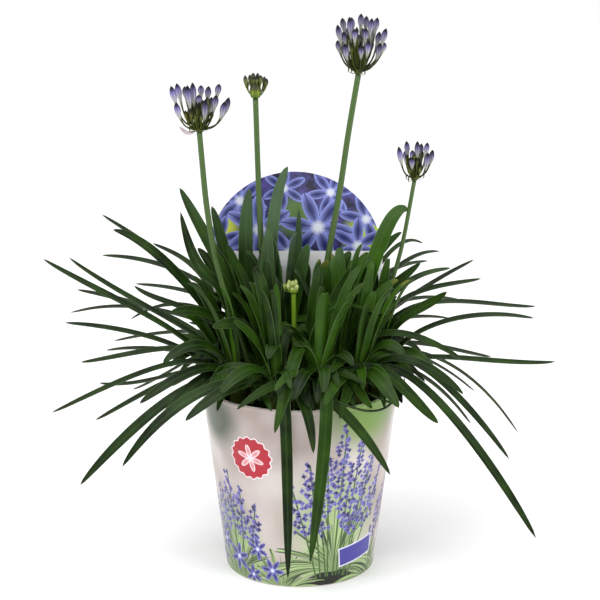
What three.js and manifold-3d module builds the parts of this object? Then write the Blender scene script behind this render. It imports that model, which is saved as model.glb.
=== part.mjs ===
// A potted agapanthus in bud: a tapered plastic pot filled with soil, a clump of leaf shoots,
// five flower stalks with their heads of buds, and a round picture card on a stake.
// Millimetres, +Z up. The origin is the centre of the pot's underside, and -Y is the front.

import * as THREE from "three";
import { mergeVertices } from "three/addons/utils/BufferGeometryUtils.js";
import Module from "manifold-3d";

// ---- Driving dimensions ----

const POT = { height: 182.5, rim: 95, base: 71, wall: 1.6, lip: 1.1, lipHeight: 4, sides: 32 };
const FLOOR = { top: 3.8, recess: 2, hub: 24, ring: 61, drains: 6, drainRadius: 4, drainAt: 44 };
const SOIL = { level: 167, sink: 12, slack: 1.1 }; // slack for a leaning stalk
const SHEATH = { radius: 7.4, height: 28, sides: 6 };
const CARD = { radius: 84, centre: [-5, 44, 291], thick: 1, tail: 26, point: 14, depth: 70 };
const BLADE = { root: 182, apart: 3.5, thick: 1.5, channel: 0.2, first: 0.12, second: 0.6 };
const SLIM = 10; // a blade under this width, or with its tip within SHORT of its root, is slight
const SHORT = 140;
const COLLAR = { radius: 13, height: 24 };
const TOUCH = 0.3; // gap between two pieces that meet
const CLEAR = 0.5; // least gap between blades of different shoots
const BENDS = 240; // ways in which a blade can give way to its neighbours

const COLOUR = { pot: 0xb9aea0, soil: 0x2b2019, card: 0x4a49a8, leaf: 0x2f5a2c, stalk: 0x4f7a3c,
  bud: 0x6a62b8, young: 0x8fa45a, bract: 0xd9c4bd };

// Each leaf shoot: where it stands in the soil, and its blades, one row each:
// [tip x, tip y, tip z, height of the knee, height of the crest, sway, width, roll].
// The knee and the crest are the blade's two control points, over an eighth and over six tenths of
// its way out. Sway moves the crest to the left of that way, and roll turns the upper face forward.
const SHOOTS = [
  { at: [-58, -38], blades: [
    [-109, -40, 353, 345, 240, -10, 11, 75],
    [-204, -40, 212, 250, 220, 5, 9, 15],
    [-231, -50, 166, 245, 200, 10, 9, 15],
    [-199, -90, 114, 225, 180, 0, 12, 30],
    [-125, -70, 220, 235, 245, 0, 12, 35],
    [-72, -60, 285, 235, 265, 0, 12, 60],
    [-150, -78, 188, 228, 215, 0, 11, 35],
    [-128, -92, 168, 220, 205, 0, 12, 30] ] },
  { at: [-22, -62], blades: [
    [-161, -110, 134, 215, 215, 0, 12, 35],
    [-11, -128, 32, 225, 248, 5, 11, 0],
    [12, -118, 150, 210, 210, 10, 12, 0],
    [80, -118, 129, 215, 200, -5, 12, 25],
    [-60, -75, 262, 230, 250, 0, 12, 40],
    [-35, -95, 232, 235, 255, 0, 12, 0],
    [-105, -104, 176, 215, 205, 0, 12, 35],
    [-72, -98, 200, 225, 225, 0, 13, 30] ] },
  { at: [18, -64], blades: [
    [9, -128, 48, 225, 240, 25, 12, 0],
    [-4, -84, 240, 225, 245, 0, 12, 10],
    [38, -75, 262, 225, 260, 0, 12, 20],
    [45, -90, 225, 230, 245, 0, 12, 10],
    [25, -104, 205, 225, 235, 8, 11, 0],
    [-5, -106, 196, 222, 228, 0, 13, 5] ] },
  { at: [54, -42], blades: [
    [222, -60, 45, 255, 165, -15, 11, 35],
    [127, -75, 164, 240, 190, -5, 11, 45],
    [95, -70, 228, 230, 245, 0, 12, 30],
    [62, -60, 275, 225, 260, 0, 12, 30],
    [150, -70, 190, 235, 225, 5, 10, 30],
    [98, -92, 186, 222, 212, 0, 13, 30] ] },
  { at: [72, -2], blades: [
    [137, -15, 273, 255, 245, 15, 10, 60],
    [223, 15, 239, 240, 255, -10, 9, 12],
    [242, -5, 202, 225, 195, 0, 9, 15],
    [200, -20, 118, 240, 185, 10, 10, 25],
    [171, 20, 130, 210, 190, 0, 9, 15],
    [125, -48, 205, 225, 225, 0, 12, 30] ] },
  { at: [60, 26], blades: [
    [71, 35, 289, 215, 240, -15, 9, 30],
    [147, 80, 272, 270, 275, -10, 9, 10],
    [179, 50, 272, 270, 265, 5, 9, 12],
    [223, 60, 248, 285, 255, -10, 9, 10],
    [190, 85, 180, 230, 195, -5, 9, 12],
    [215, 45, 114, 220, 215, -15, 8, 5] ] },
  { at: [36, 62], blades: [
    [40, 130, 280, 235, 280, 0, 12, 10],
    [100, 165, 215, 240, 240, 0, 9, 5],
    [121, 90, 294, 225, 320, 0, 8, 5],
    [138, 110, 288, 235, 300, 0, 8, 5],
    [128, 125, 268, 250, 270, 10, 8, 5],
    [171, 90, 278, 210, 255, -5, 8, 10],
    [162, 130, 225, 230, 240, 10, 8, 5],
    [157, 120, 210, 215, 225, 0, 8, 5],
    [176, 120, 134, 215, 190, -15, 8, 8] ] },
  { at: [-2, 72], blades: [
    [-45, 165, 220, 240, 250, 0, 11, 5],
    [65, 175, 225, 245, 255, -5, 10, 5],
    [-30, 110, 330, 240, 310, 0, 12, 20],
    [25, 125, 315, 240, 300, 0, 12, 10],
    [-55, 120, 280, 240, 275, 5, 12, 10],
    [50, 105, 300, 240, 290, 0, 12, 15],
    [0, 155, 265, 245, 280, 5, 11, 0] ] },
  { at: [-38, 62], blades: [
    [-48, 120, 295, 235, 285, 0, 12, 10],
    [-105, 165, 225, 240, 250, 5, 9, 5],
    [-195, 95, 281, 255, 280, -10, 9, 12],
    [-227, 85, 225, 215, 250, 0, 8, 5],
    [-174, 90, 209, 210, 250, -10, 8, 10],
    [-173, 100, 245, 240, 245, 0, 8, 8],
    [-187, 110, 189, 220, 210, 10, 8, 5],
    [-168, 90, 144, 235, 165, -10, 8, 5] ] },
  { at: [-66, 24], blades: [
    [-191, 65, 329, 270, 300, 0, 8, 5],
    [-145, 80, 298, 280, 285, -10, 8, 5],
    [-220, 30, 295, 225, 245, 0, 9, 15],
    [-151, 50, 266, 260, 245, 10, 9, 15],
    [-223, 45, 254, 225, 240, -15, 9, 12],
    [-190, 60, 194, 200, 210, 15, 8, 5],
    [-197, 50, 166, 205, 160, -5, 8, 8] ] },
  { at: [-74, -8], blades: [
    [-238, -20, 306, 235, 265, 15, 10, 20],
    [-222, 0, 239, 220, 235, 0, 9, 12],
    [-193, -25, 153, 215, 180, 5, 9, 12] ] },
  { at: [-30, -22], blades: [
    [-11, 5, 388, 205, 345, 20, 14, 5],
    [-90, -60, 255, 250, 260, 0, 13, 40],
    [-27, -10, 332, 220, 290, 0, 14, 0],
    [-62, -30, 318, 225, 290, 0, 12, 60],
    [-45, -50, 270, 230, 260, 0, 13, 30],
    [-20, 8, 296, 230, 275, 0, 13, 30] ] },
  { at: [6, -30], blades: [
    [-28, -108, 165, 255, 240, 8, 13, 0],
    [17, -98, 187, 205, 225, -8, 12, 0],
    [40, -92, 185, 225, 210, 0, 12, 0],
    [50, -15, 298, 225, 255, 8, 15, 60],
    [80, -35, 257, 300, 260, -10, 8, 5],
    [20, -18, 300, 230, 275, 0, 14, 10],
    [-24, -56, 255, 230, 255, 0, 13, 10],
    [28, -55, 272, 230, 262, 0, 14, 20] ] },
  { at: [38, -16], blades: [
    [100, -5, 348, 200, 370, 0, 14, 70],
    [153, -20, 208, 255, 240, -8, 11, 20],
    [78, -92, 186, 225, 196, 0, 11, 0],
    [14, -85, 216, 205, 240, 20, 12, 0],
    [62, -30, 300, 225, 280, 0, 14, 50],
    [70, -50, 262, 230, 262, 0, 14, 35] ] },
  { at: [22, 14], blades: [
    [96, 20, 322, 225, 300, 10, 11, 40],
    [115, 20, 289, 225, 255, 0, 11, 55],
    [40, 25, 303, 265, 260, 15, 12, 30],
    [30, 5, 303, 230, 280, 0, 15, 10],
    [65, 30, 300, 225, 280, 0, 13, 40],
    [48, 34, 300, 230, 285, 0, 14, 20],
    [22, 36, 292, 230, 280, 0, 14, 10] ] },
  { at: [-14, 12], blades: [
    [-30, 32, 308, 230, 285, 0, 14, 10],
    [-8, 30, 292, 230, 275, 0, 15, 10],
    [-1, 30, 343, 240, 265, -8, 10, 5],
    [20, -10, 248, 255, 245, -8, 12, 20],
    [-60, 30, 305, 235, 280, 0, 13, 50],
    [8, 14, 312, 230, 285, 0, 14, 60] ] },
  { at: [-46, 0], blades: [
    [-111, -10, 371, 270, 315, 8, 12, 70],
    [-174, -5, 330, 215, 320, 8, 12, 40],
    [-47, 20, 364, 225, 315, 10, 14, 5],
    [-83, 0, 350, 205, 300, 0, 13, 60],
    [-95, -15, 315, 240, 290, 5, 13, 60],
    [-120, -40, 262, 245, 265, 0, 13, 40] ] },
];

// The flower stalks: a point on the way for each pair of rings, from the soil up to the neck.
const STALKS = [
  { radius: 3, way: [[-33, -40, 165], [-46, -39, 205], [-65, -36, 263], [-77, -33, 307],
    [-85, -31, 356], [-89, -30, 400], [-91, -30, 426]] },
  { radius: 3, way: [[-30, 10, 165], [-35, 10, 281], [-38, 10, 350], [-41, 10, 451]] },
  { radius: 3.1, way: [[4, -10, 165], [14, -10, 235], [26, -10, 305], [37, -10, 370],
    [44, -10, 420], [53, -10, 476]] },
  { radius: 2.3, way: [[50, 8, 165], [67, 13, 214], [85, 17, 268], [96, 19, 308], [107, 20, 371]] },
  { radius: 2.6, way: [[-4, -42, 165], [-5, -38, 225], [-6, -35, 277]] },
];

// The heads of buds: the radius and height of the cup that the buds leave, and each bud's middle as
// [right, back, up] from the stalk's neck, then its length.
const HEADS = [
  { thick: 6, cup: [3.6, 5], colour: COLOUR.bud, buds: [
    [-23, -4, 36, 15], [-19, 7, 37, 14], [-19, -10, 23, 13], [-13, 14, 35, 10], [-9, -9, 36, 18],
    [-5, -4, 38, 17], [1, 17, 36, 9], [6, -14, 25, 17], [8, 6, 36, 11], [17, 10, 38, 10],
    [15, -8, 30, 12], [22, -6, 23, 14], [25, 3, 25, 14], [-4, 8, 26, 8], [0, -2, 31, 8],
    [10, 15, 24, 12], [-10, 18, 25, 11] ] },
  { thick: 4, cup: [5.4, 14], colour: COLOUR.young, buds: [
    [-9, -2, 17, 9], [-5, 5, 17, 8], [-2, 0, 20, 7], [2, 5, 19, 7], [5, -2, 18, 7],
    [8, 3, 16, 7], [10, -2, 15, 7], [-8, 6, 12, 7], [8, 0, 10, 5], [4, 8, 14, 6],
    [-3, 9, 13, 6] ] },
  { thick: 5.6, cup: [4, 6], colour: COLOUR.bud, buds: [
    [-18, -6, 39, 14], [-14, 6, 45, 11], [-8, -6, 45, 16], [2, 4, 49, 11], [11, -4, 45, 13],
    [16, 5, 45, 12], [23, -3, 36, 13], [-12, -15, 24, 13], [-18, 8, 25, 10], [8, -16, 27, 12],
    [18, -10, 24, 13], [23, 8, 24, 8], [-4, -12, 38, 10], [6, -10, 38, 11], [-1, -4, 33, 9],
    [-9, 14, 36, 11], [13, 13, 36, 11], [2, -17, 24, 9], [-3, 18, 26, 10], [-13, -3, 34, 11],
    [18, 3, 33, 11], [-6, 10, 45, 11], [7, 12, 46, 11], [4, 20, 34, 11], [-15, 14, 24, 9],
    [12, 19, 24, 10] ] },
  { thick: 5.2, cup: [3, 5], colour: COLOUR.bud, buds: [
    [-14, -3, 26, 15], [-7, 5, 31, 12], [-3, -9, 20, 9], [2, -5, 32, 14], [6, 4, 29, 12],
    [11, -2, 32, 10], [11, -8, 22, 14], [16, 4, 23, 12], [-8, 10, 22, 10], [3, 12, 24, 10],
    [-2, 2, 25, 8] ] },
  { thick: 3.6, cup: [4.4, 7], colour: COLOUR.young, buds: [
    [-8, -1, 7, 6], [-5, -4, 8, 6], [-4, 3, 9, 6], [-1, -3, 10, 6], [2, 1, 10, 6], [3, -4, 7, 6],
    [0, 5, 8, 5] ] },
];

const PEDICEL = 0.8; // radius of the thin stalk under each bud
const NECK_GAP = 0.6; // between a stalk's tilted end and its cup
const BRACT = { reach: [-18, -5, 6], crest: [-12, -4, -3], width: 8, thick: 0.9 };

const wasm = await Module();
wasm.setup();
const part = new THREE.Group();
const up = new THREE.Vector3(0, 0, 1);

// ---- Solids ----

// A three.js geometry as a solid that can be cut and joined.
function solidOf(geometry) {
  const bare = geometry.clone();
  bare.deleteAttribute("normal");
  bare.deleteAttribute("uv");
  const merged = mergeVertices(bare, 1e-4);
  const corners = merged.index.array;
  const kept = [];
  for (let i = 0; i < corners.length; i += 3) {
    const [a, b, c] = corners.slice(i, i + 3);
    if (a !== b && b !== c && c !== a) kept.push(a, b, c);
  }
  return new wasm.Manifold(new wasm.Mesh({
    numProp: 3,
    vertProperties: Float32Array.from(merged.attributes.position.array),
    triVerts: Uint32Array.from(kept),
  }));
}

// Solids joined into one skin. A hollow that the joining seals off, or a loose scrap, is left out.
function joined(solids) {
  const skins = wasm.Manifold.union(solids).decompose();
  return skins.reduce((most, skin) => (skin.volume() > most.volume() ? skin : most));
}

// Adds a solid to the part as one named mesh.
function addNode(name, solid, colour, roughness) {
  const mesh = solid.getMesh();
  const geometry = new THREE.BufferGeometry();
  geometry.setAttribute("position", new THREE.BufferAttribute(mesh.vertProperties, 3));
  geometry.setIndex(new THREE.BufferAttribute(mesh.triVerts, 1));
  geometry.computeVertexNormals();
  const node = new THREE.Mesh(
    geometry, new THREE.MeshStandardMaterial({ color: colour, roughness, metalness: 0 }));
  node.name = name;
  part.add(node);
}

// A closed skin over rings of points, which run anticlockwise seen from the far end. With a tip,
// the skin narrows to that point. Neighbouring faces are split alike on both sides of a thin blade.
function loft(rings, tip) {
  const sides = rings[0].length;
  const points = rings.flat();
  const faces = [];
  for (let ring = 0; ring + 1 < rings.length; ring += 1) {
    for (let side = 0; side < sides; side += 1) {
      const next = (side + 1) % sides;
      const [a, b] = [ring * sides + side, ring * sides + next];
      const [c, d] = [b + sides, a + sides];
      if (side % 2 === 0) faces.push(a, b, c, a, c, d);
      else faces.push(a, b, d, b, c, d);
    }
  }
  const last = (rings.length - 1) * sides;
  if (tip) points.push(tip);
  for (let side = 1; side + 1 < sides; side += 1) {
    faces.push(0, side + 1, side);
    if (!tip) faces.push(last, last + side, last + side + 1);
  }
  for (let side = 0; tip && side < sides; side += 1) {
    faces.push(last + side, last + (side + 1) % sides, points.length - 1);
  }
  const geometry = new THREE.BufferGeometry().setFromPoints(points);
  geometry.setIndex(faces);
  return solidOf(geometry);
}

// A round rod or spindle: at each step along the curve it has that step's radius.
function rod(curve, steps, sides, tip) {
  const rings = steps.map(([along, radius]) => {
    const middle = curve.getPoint(along);
    const ahead = curve.getTangent(along);
    const right = new THREE.Vector3(1, 0, 0).addScaledVector(ahead, -ahead.x).normalize();
    const back = ahead.clone().cross(right);
    return Array.from({ length: sides }, (_, side) => {
      const turn = (side + 0.5) * 2 * Math.PI / sides;
      return middle.clone()
        .addScaledVector(right, radius * Math.cos(turn))
        .addScaledVector(back, radius * Math.sin(turn));
    });
  });
  return loft(rings, tip ? curve.getPoint(1) : null);
}

function straight(from, to) {
  return new THREE.LineCurve3(new THREE.Vector3(...from), new THREE.Vector3(...to));
}

function turned(profile, sides) {
  const outline = profile.map(([radius, height]) => new THREE.Vector2(radius, height));
  return solidOf(new THREE.LatheGeometry(outline, sides).rotateX(Math.PI / 2));
}

// ---- Pot and soil ----

function wallRadius(height) {
  return POT.base + (POT.rim - POT.lip - POT.base) * height / POT.height;
}

// The pot: a thin tapered wall with a small lip, standing on a hub and a ring, with drain holes.
function pot() {
  const { height, lip, lipHeight, wall } = POT;
  const shell = turned([
    [0, 0], [FLOOR.hub, 0], [FLOOR.hub + 2, FLOOR.recess], [FLOOR.ring - 2, FLOOR.recess],
    [FLOOR.ring, 0], [POT.base - 1.5, 0], [wallRadius(2), 2],
    [wallRadius(height - lipHeight), height - lipHeight],
    [wallRadius(height - lipHeight) + lip, height - lipHeight + 0.8],
    [POT.rim, height - 0.8], [POT.rim - 0.8, height],
    [wallRadius(height) - wall, height - 0.6], [wallRadius(FLOOR.top) - wall, FLOOR.top],
    [0, FLOOR.top],
  ], POT.sides);
  const drains = Array.from({ length: FLOOR.drains }, (_, i) => {
    const turn = (i + 0.5) * 2 * Math.PI / FLOOR.drains;
    const [x, y] = [FLOOR.drainAt * Math.cos(turn), FLOOR.drainAt * Math.sin(turn)];
    return rod(straight([x, y, -1], [x, y, FLOOR.top + 1]),
      [[0, FLOOR.drainRadius], [1, FLOOR.drainRadius]], 6);
  });
  return shell.subtract(wasm.Manifold.union(drains));
}

// The soil fills the pot, and is cut by a plain hole for each shoot, each stalk and the card.
function soil() {
  const low = FLOOR.top + TOUCH;
  const edge = (height) => wallRadius(height) - POT.wall - TOUCH;
  const fill = turned([
    [0, low], [edge(low), low], [edge(SOIL.level), SOIL.level], [0, SOIL.level],
  ], POT.sides);
  const hole = ([x, y], radius) => rod(
    straight([x, y, SOIL.level - SOIL.sink - TOUCH], [x, y, SOIL.level + 20]),
    [[0, radius + TOUCH + 0.2], [1, radius + TOUCH + 0.2]], SHEATH.sides);
  const slot = new THREE.BoxGeometry(
    CARD.tail + 2 * TOUCH, CARD.thick + 2 * TOUCH + 0.2, CARD.depth + 20 + TOUCH);
  slot.translate(CARD.centre[0], CARD.centre[1], SOIL.level + 10 - (CARD.depth + TOUCH) / 2);
  return fill.subtract(wasm.Manifold.union([
    solidOf(slot),
    ...SHOOTS.map((shoot) => hole(shoot.at, SHEATH.radius)),
    ...STALKS.map((stalk) => hole(stalk.way[0], stalk.radius + SOIL.slack)),
  ]));
}

// ---- Card ----

// The picture card: a round plate on a stake that narrows to its point.
function card() {
  const { radius, tail, point, depth, thick } = CARD;
  const [x, y, z] = CARD.centre;
  const shoulder = Math.asin(tail / 2 / radius);
  const foot = SOIL.level - depth - z;
  const outline = new THREE.Shape();
  outline.moveTo(0, foot);
  outline.lineTo(point / 2, foot + 12);
  outline.lineTo(tail / 2, -radius);
  outline.absarc(0, 0, radius, shoulder - Math.PI / 2, 1.5 * Math.PI - shoulder, false);
  outline.lineTo(-tail / 2, -radius);
  outline.lineTo(-point / 2, foot + 12);
  const plate = new THREE.ExtrudeGeometry(
    outline, { depth: thick, bevelEnabled: false, curveSegments: 30 });
  plate.rotateX(Math.PI / 2).translate(x, y + thick / 2, z);
  return solidOf(plate);
}

// ---- Leaf shoots ----

// The way of a blade. A bend moves it sideways and up by steps of a widening spiral.
function bladeWay([x0, y0], [x, y, z, knee, crest, sway], bend) {
  const ahead = new THREE.Vector3(x - x0, y - y0, 0);
  const left = new THREE.Vector3(-ahead.y, ahead.x, 0).normalize();
  const crown = new THREE.Vector3(x0, y0, BLADE.root);
  const reach = Math.sqrt(bend) * Math.min(1.7, crown.distanceTo({ x, y, z }) / 100);
  const aside = 1.5 * reach * Math.cos(2.4 * bend);
  const rise = 0.7 * reach * Math.sin(2.4 * bend);
  const root = crown.clone().addScaledVector(ahead.clone().normalize(), BLADE.apart);
  const over = (share, height, shift) => crown.clone()
    .addScaledVector(ahead, share).addScaledVector(left, shift).setZ(height);
  const way = new THREE.CubicBezierCurve3(
    root,
    over(BLADE.first, knee + 0.4 * rise, 0.4 * aside),
    over(BLADE.second, crest + rise, sway + aside),
    over(1, z + 0.7 * rise, 0.9 * aside));
  return { way, left };
}

// How far along a blade its rings are. A slim or short blade has fewer.
const STEPS = [0, 0.14, 0.3, 0.47, 0.65, 0.81, 0.94];
const FEW_STEPS = [0, 0.18, 0.38, 0.6, 0.8, 0.94];

// How much of its full width a blade has. It keeps it for most of its way, up to its blunt tip.
function bladeWidth(along) {
  if (along < 0.45) return 0.8 + 0.2 * Math.sin(along / 0.45 * Math.PI / 2);
  return (1 - ((along - 0.45) / 0.55) ** 4) ** 0.6;
}

// A blade: a long strap with a shallow channel above and a keel below, narrowed to its tip.
function blade(foot, row, bend, grown) {
  const { way, left } = bladeWay(foot, row, bend);
  const [width, roll] = [row[6], row[7] * Math.PI / 180];
  const front = left.clone().multiplyScalar(left.y < 0 ? 1 : -1);
  const slight = width < SLIM || way.v0.distanceTo(way.v3) < SHORT;
  const rings = (slight ? FEW_STEPS : STEPS).map((along) => {
    const middle = way.getPoint(along);
    const ahead = way.getTangent(along);
    const turn = roll * Math.min(1, 0.3 + along);
    const over = ahead.clone().cross(left).multiplyScalar(Math.cos(turn))
      .addScaledVector(front, Math.sin(turn));
    const across = over.cross(ahead).normalize();
    const above = ahead.clone().cross(across);
    const half = width / 2 * bladeWidth(along);
    const lift = half * BLADE.channel;
    const put = (side, height) => middle.clone()
      .addScaledVector(across, side).addScaledVector(above, height);
    return [put(half + grown, lift), put(0, grown),
      put(-half - grown, lift), put(0, -BLADE.thick - grown)];
  });
  return loft(rings, way.getPoint(1));
}

// What stands already, so that later blades are bent clear of it.
const standing = [];

function stand(owner, solid) {
  standing.push({ owner, solid, box: solid.boundingBox() });
}

// Whether a solid stands clear. Blades of its own shoot may meet it inside the collar or, with no
// collar, anywhere.
function isClear(owner, solid, collar) {
  const box = solid.boundingBox();
  return standing.every((other) => {
    const own = other.owner === owner;
    if (own && !collar) return true;
    if ([0, 1, 2].some((axis) => other.box.min[axis] > box.max[axis]
      || other.box.max[axis] < box.min[axis])) return true;
    const shared = solid.intersect(other.solid);
    return (own ? shared.subtract(collar) : shared).isEmpty();
  });
}

// Grows one blade with the first bend that keeps it clear, or clear of the other shoots alone.
// A blade with no room isn't grown.
function growBlade(shoot, owner, row) {
  const [x, y] = shoot.at;
  const collar = rod(straight([x, y, SOIL.level], [x, y, BLADE.root + COLLAR.height]),
    [[0, COLLAR.radius], [1, COLLAR.radius]], SHEATH.sides);
  for (const within of [collar, null]) {
    for (let bend = 0; bend < BENDS; bend += 1) {
      if (isClear(owner, blade(shoot.at, row, bend, CLEAR), within)) {
        stand(owner, blade(shoot.at, row, bend, 0));
        return;
      }
    }
  }
  console.warn("no room for a blade of " + owner, row.map(Math.round).join(" "));
}

function sheath([x, y]) {
  const foot = SOIL.level - SOIL.sink;
  return rod(straight([x, y, foot], [x, y, SOIL.level + SHEATH.height]),
    [[0, SHEATH.radius], [0.65, SHEATH.radius], [1, SHEATH.radius * 0.5]], SHEATH.sides);
}

// ---- Stalks and heads ----

function stalk({ radius, way }) {
  const points = way.map((point) => new THREE.Vector3(...point));
  const foot = points[0].clone().setZ(SOIL.level - SOIL.sink);
  const curve = new THREE.CatmullRomCurve3([foot, ...points], false, "centripetal");
  const count = points.length + 1;
  const steps = Array.from(
    { length: count + 1 }, (_, i) => [i / count, radius * (1 - 0.15 * i / count)]);
  return rod(curve, steps, SHEATH.sides);
}

// One bud on its pedicel, as one skin: it leaves the neck outwards, turns up and swells.
function bud([x, y, z, length], thick, neck) {
  const offset = new THREE.Vector3(x, y, z);
  const lean = new THREE.Vector3(x * 0.3, y * 0.3, 26).normalize();
  const middle = neck.clone().add(offset);
  const low = middle.clone().addScaledVector(lean, -length / 2);
  const from = neck.clone().addScaledVector(offset.setLength(1), 1.6).setZ(neck.z + 2);
  const elbow = new THREE.Vector3(x * 0.62, y * 0.62, 0.4 * (low.z - neck.z)).add(neck);
  const high = middle.clone().addScaledVector(lean, length / 2);
  const way = new THREE.CatmullRomCurve3([from, elbow, low, middle, high]);
  return rod(way, [[0, PEDICEL], [0.25, PEDICEL], [0.49, PEDICEL], [0.7, thick * 0.48],
    [0.9, thick * 0.42]], 4, true);
}

function head(row, neck) {
  const { x, y, z } = neck;
  const [radius, height] = row.cup;
  const cup = rod(straight([x, y, z + NECK_GAP], [x, y, z + height]),
    [[0, 2.4], [0.3, radius * 0.9], [0.6, radius], [1, radius * 0.6]], SHEATH.sides);
  return joined([cup, ...row.buds.map((place) => bud(place, row.thick, neck))]);
}

// The papery bract that is left under the first head.
function bract(neck) {
  const from = neck.clone().add(new THREE.Vector3(-HEADS[0].cup[0] - TOUCH - 0.2, -1, 1));
  const way = new THREE.QuadraticBezierCurve3(from,
    neck.clone().add(new THREE.Vector3(...BRACT.crest)),
    neck.clone().add(new THREE.Vector3(...BRACT.reach)));
  const rings = [[0, 0.35], [0.3, 0.9], [0.6, 1], [0.85, 0.6]].map(([along, share]) => {
    const middle = way.getPoint(along);
    const half = BRACT.width / 2 * share;
    return [[-half, 0.6], [0, 0], [half, 0.6], [0, -BRACT.thick]].map(([side, height]) =>
      new THREE.Vector3(middle.x, middle.y + side, middle.z + height));
  });
  return loft(rings, way.getPoint(1));
}

// ---- The plant in its pot ----

const name = (word, i) => word + "_" + String(i + 1).padStart(2, "0");
const necks = STALKS.map(({ way }) => new THREE.Vector3(...way.at(-1)));
const stalks = STALKS.map(stalk);
const heads = HEADS.map((row, i) => head(row, necks[i]));
const fixed = { pot: pot(), soil: soil(), label: card(), bract: bract(necks[0]) };

Object.entries(fixed).forEach(([owner, solid]) => stand(owner, solid));
stalks.forEach((solid, i) => stand(name("stalk", i), solid));
heads.forEach((solid, i) => stand(name("umbel", i), solid));
SHOOTS.forEach((shoot, i) => stand(name("fan", i), sheath(shoot.at)));
SHOOTS.forEach((shoot, i) => shoot.blades.forEach((row) => growBlade(shoot, name("fan", i), row)));

addNode("pot", fixed.pot, COLOUR.pot, 0.35);
addNode("soil", fixed.soil, COLOUR.soil, 0.95);
addNode("label", fixed.label, COLOUR.card, 0.4);
SHOOTS.forEach((_, i) => {
  const owner = name("fan", i);
  const own = standing.filter((piece) => piece.owner === owner).map((piece) => piece.solid);
  addNode(owner, joined(own), COLOUR.leaf, 0.45);
});
stalks.forEach((solid, i) => addNode(name("stalk", i), solid, COLOUR.stalk, 0.5));
heads.forEach((solid, i) => addNode(name("umbel", i), solid, HEADS[i].colour, 0.55));
addNode("bract", fixed.bract, COLOUR.bract, 0.8);

export default part;
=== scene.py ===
import math
import random

import bmesh
import bpy
from mathutils import Matrix, Vector, geometry, kdtree, noise


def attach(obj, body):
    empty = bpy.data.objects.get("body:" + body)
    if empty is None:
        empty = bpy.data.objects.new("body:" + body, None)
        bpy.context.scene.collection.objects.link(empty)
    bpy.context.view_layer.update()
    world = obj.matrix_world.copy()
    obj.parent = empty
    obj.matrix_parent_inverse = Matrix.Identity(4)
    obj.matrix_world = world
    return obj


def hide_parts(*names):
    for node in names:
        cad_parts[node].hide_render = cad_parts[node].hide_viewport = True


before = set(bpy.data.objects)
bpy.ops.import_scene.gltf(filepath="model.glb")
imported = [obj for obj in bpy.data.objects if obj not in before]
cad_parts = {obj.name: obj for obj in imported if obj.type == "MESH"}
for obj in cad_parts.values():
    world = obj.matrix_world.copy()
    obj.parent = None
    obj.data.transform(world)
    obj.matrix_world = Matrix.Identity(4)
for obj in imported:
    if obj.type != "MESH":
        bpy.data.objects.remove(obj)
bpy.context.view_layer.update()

# ---- Camera ----
# A long lens, square to the front of the plant. It is aimed at the middle of the plant from just
# under two metres away, and looks down by fifteen degrees.

CAMERA_AIM = Vector((0, 0, 0.261))
CAMERA_DISTANCE = 1.9
CAMERA_RISE = math.radians(15.1)
CAMERA_LENS = 121.2

camera_data = bpy.data.cameras.new("camera")
camera_data.lens = CAMERA_LENS
camera = bpy.data.objects.new("camera", camera_data)
camera.location = CAMERA_AIM + CAMERA_DISTANCE * Vector(
    (0, -math.cos(CAMERA_RISE), math.sin(CAMERA_RISE)))
camera.rotation_euler = (math.pi / 2 - CAMERA_RISE, 0, 0)
bpy.context.scene.collection.objects.link(camera)
bpy.context.scene.camera = camera

# ---- Floor and light ----
# A plain white floor that runs on past the frame, in a white room that is brightest overhead, with a
# large soft lamp overhead to the left of the front and another low on the right.

FLOOR_REACH = 20  # metres to each side, so that no view shows its edge
ROOM_WALLS = 0.3
ROOM_CEILING = 1.35


def paint(code):
    """A colour written as sRGB hex, as the linear numbers that a material takes."""
    channels = [int(code[i:i + 2], 16) / 255 for i in (1, 3, 5)]
    return (*(c / 12.92 if c <= 0.04045 else ((c + 0.055) / 1.055) ** 2.4 for c in channels), 1)


def finish(name, roughness, ior, colour="#ffffff"):
    """A new material with a plain shader, as (material, node tree, shader)."""
    material = bpy.data.materials.new(name)
    material.use_nodes = True
    shader = material.node_tree.nodes["Principled BSDF"]
    shader.inputs["Roughness"].default_value = roughness
    shader.inputs["IOR"].default_value = ior
    shader.inputs["Base Color"].default_value = paint(colour)
    return material, material.node_tree, shader


def add_node(tree, kind, inputs, operation=None, stops=(), **settings):
    """Adds a shader node with its settings. Its inputs are values, or outputs to link, in order or
    by name. A math node has an operation, and a colour ramp has stops. Returns its first output."""
    node = tree.nodes.new("ShaderNode" + kind)
    if operation:
        node.operation = operation
    for name, value in settings.items():
        setattr(node, name, value)
    if stops:
        elements = node.color_ramp.elements
        for _ in stops[2:]:  # a new ramp has two
            elements.new(0.5)
        for element, (position, colour) in zip(elements, stops):
            element.position = position
            element.color = colour
    sockets = [socket for socket in node.inputs if socket.enabled]
    named = inputs.items() if isinstance(inputs, dict) else zip(sockets, inputs)
    for place, value in named:
        socket = node.inputs[place] if isinstance(place, str) else place
        if isinstance(value, bpy.types.NodeSocket):
            tree.links.new(value, socket)
        else:
            socket.default_value = value
    return next(socket for socket in node.outputs if socket.enabled)


# Matt white background paper.
paper, _, _ = finish("white background paper", 0.9, 1.4, "#fdfdfd")

floor_form = bmesh.new()
bmesh.ops.create_grid(floor_form, x_segments=1, y_segments=1, size=FLOOR_REACH)
floor_data = bpy.data.meshes.new("floor")
floor_form.to_mesh(floor_data)
floor_data.materials.append(paper)
floor = bpy.data.objects.new("floor", floor_data)
bpy.context.scene.collection.objects.link(floor)

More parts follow.
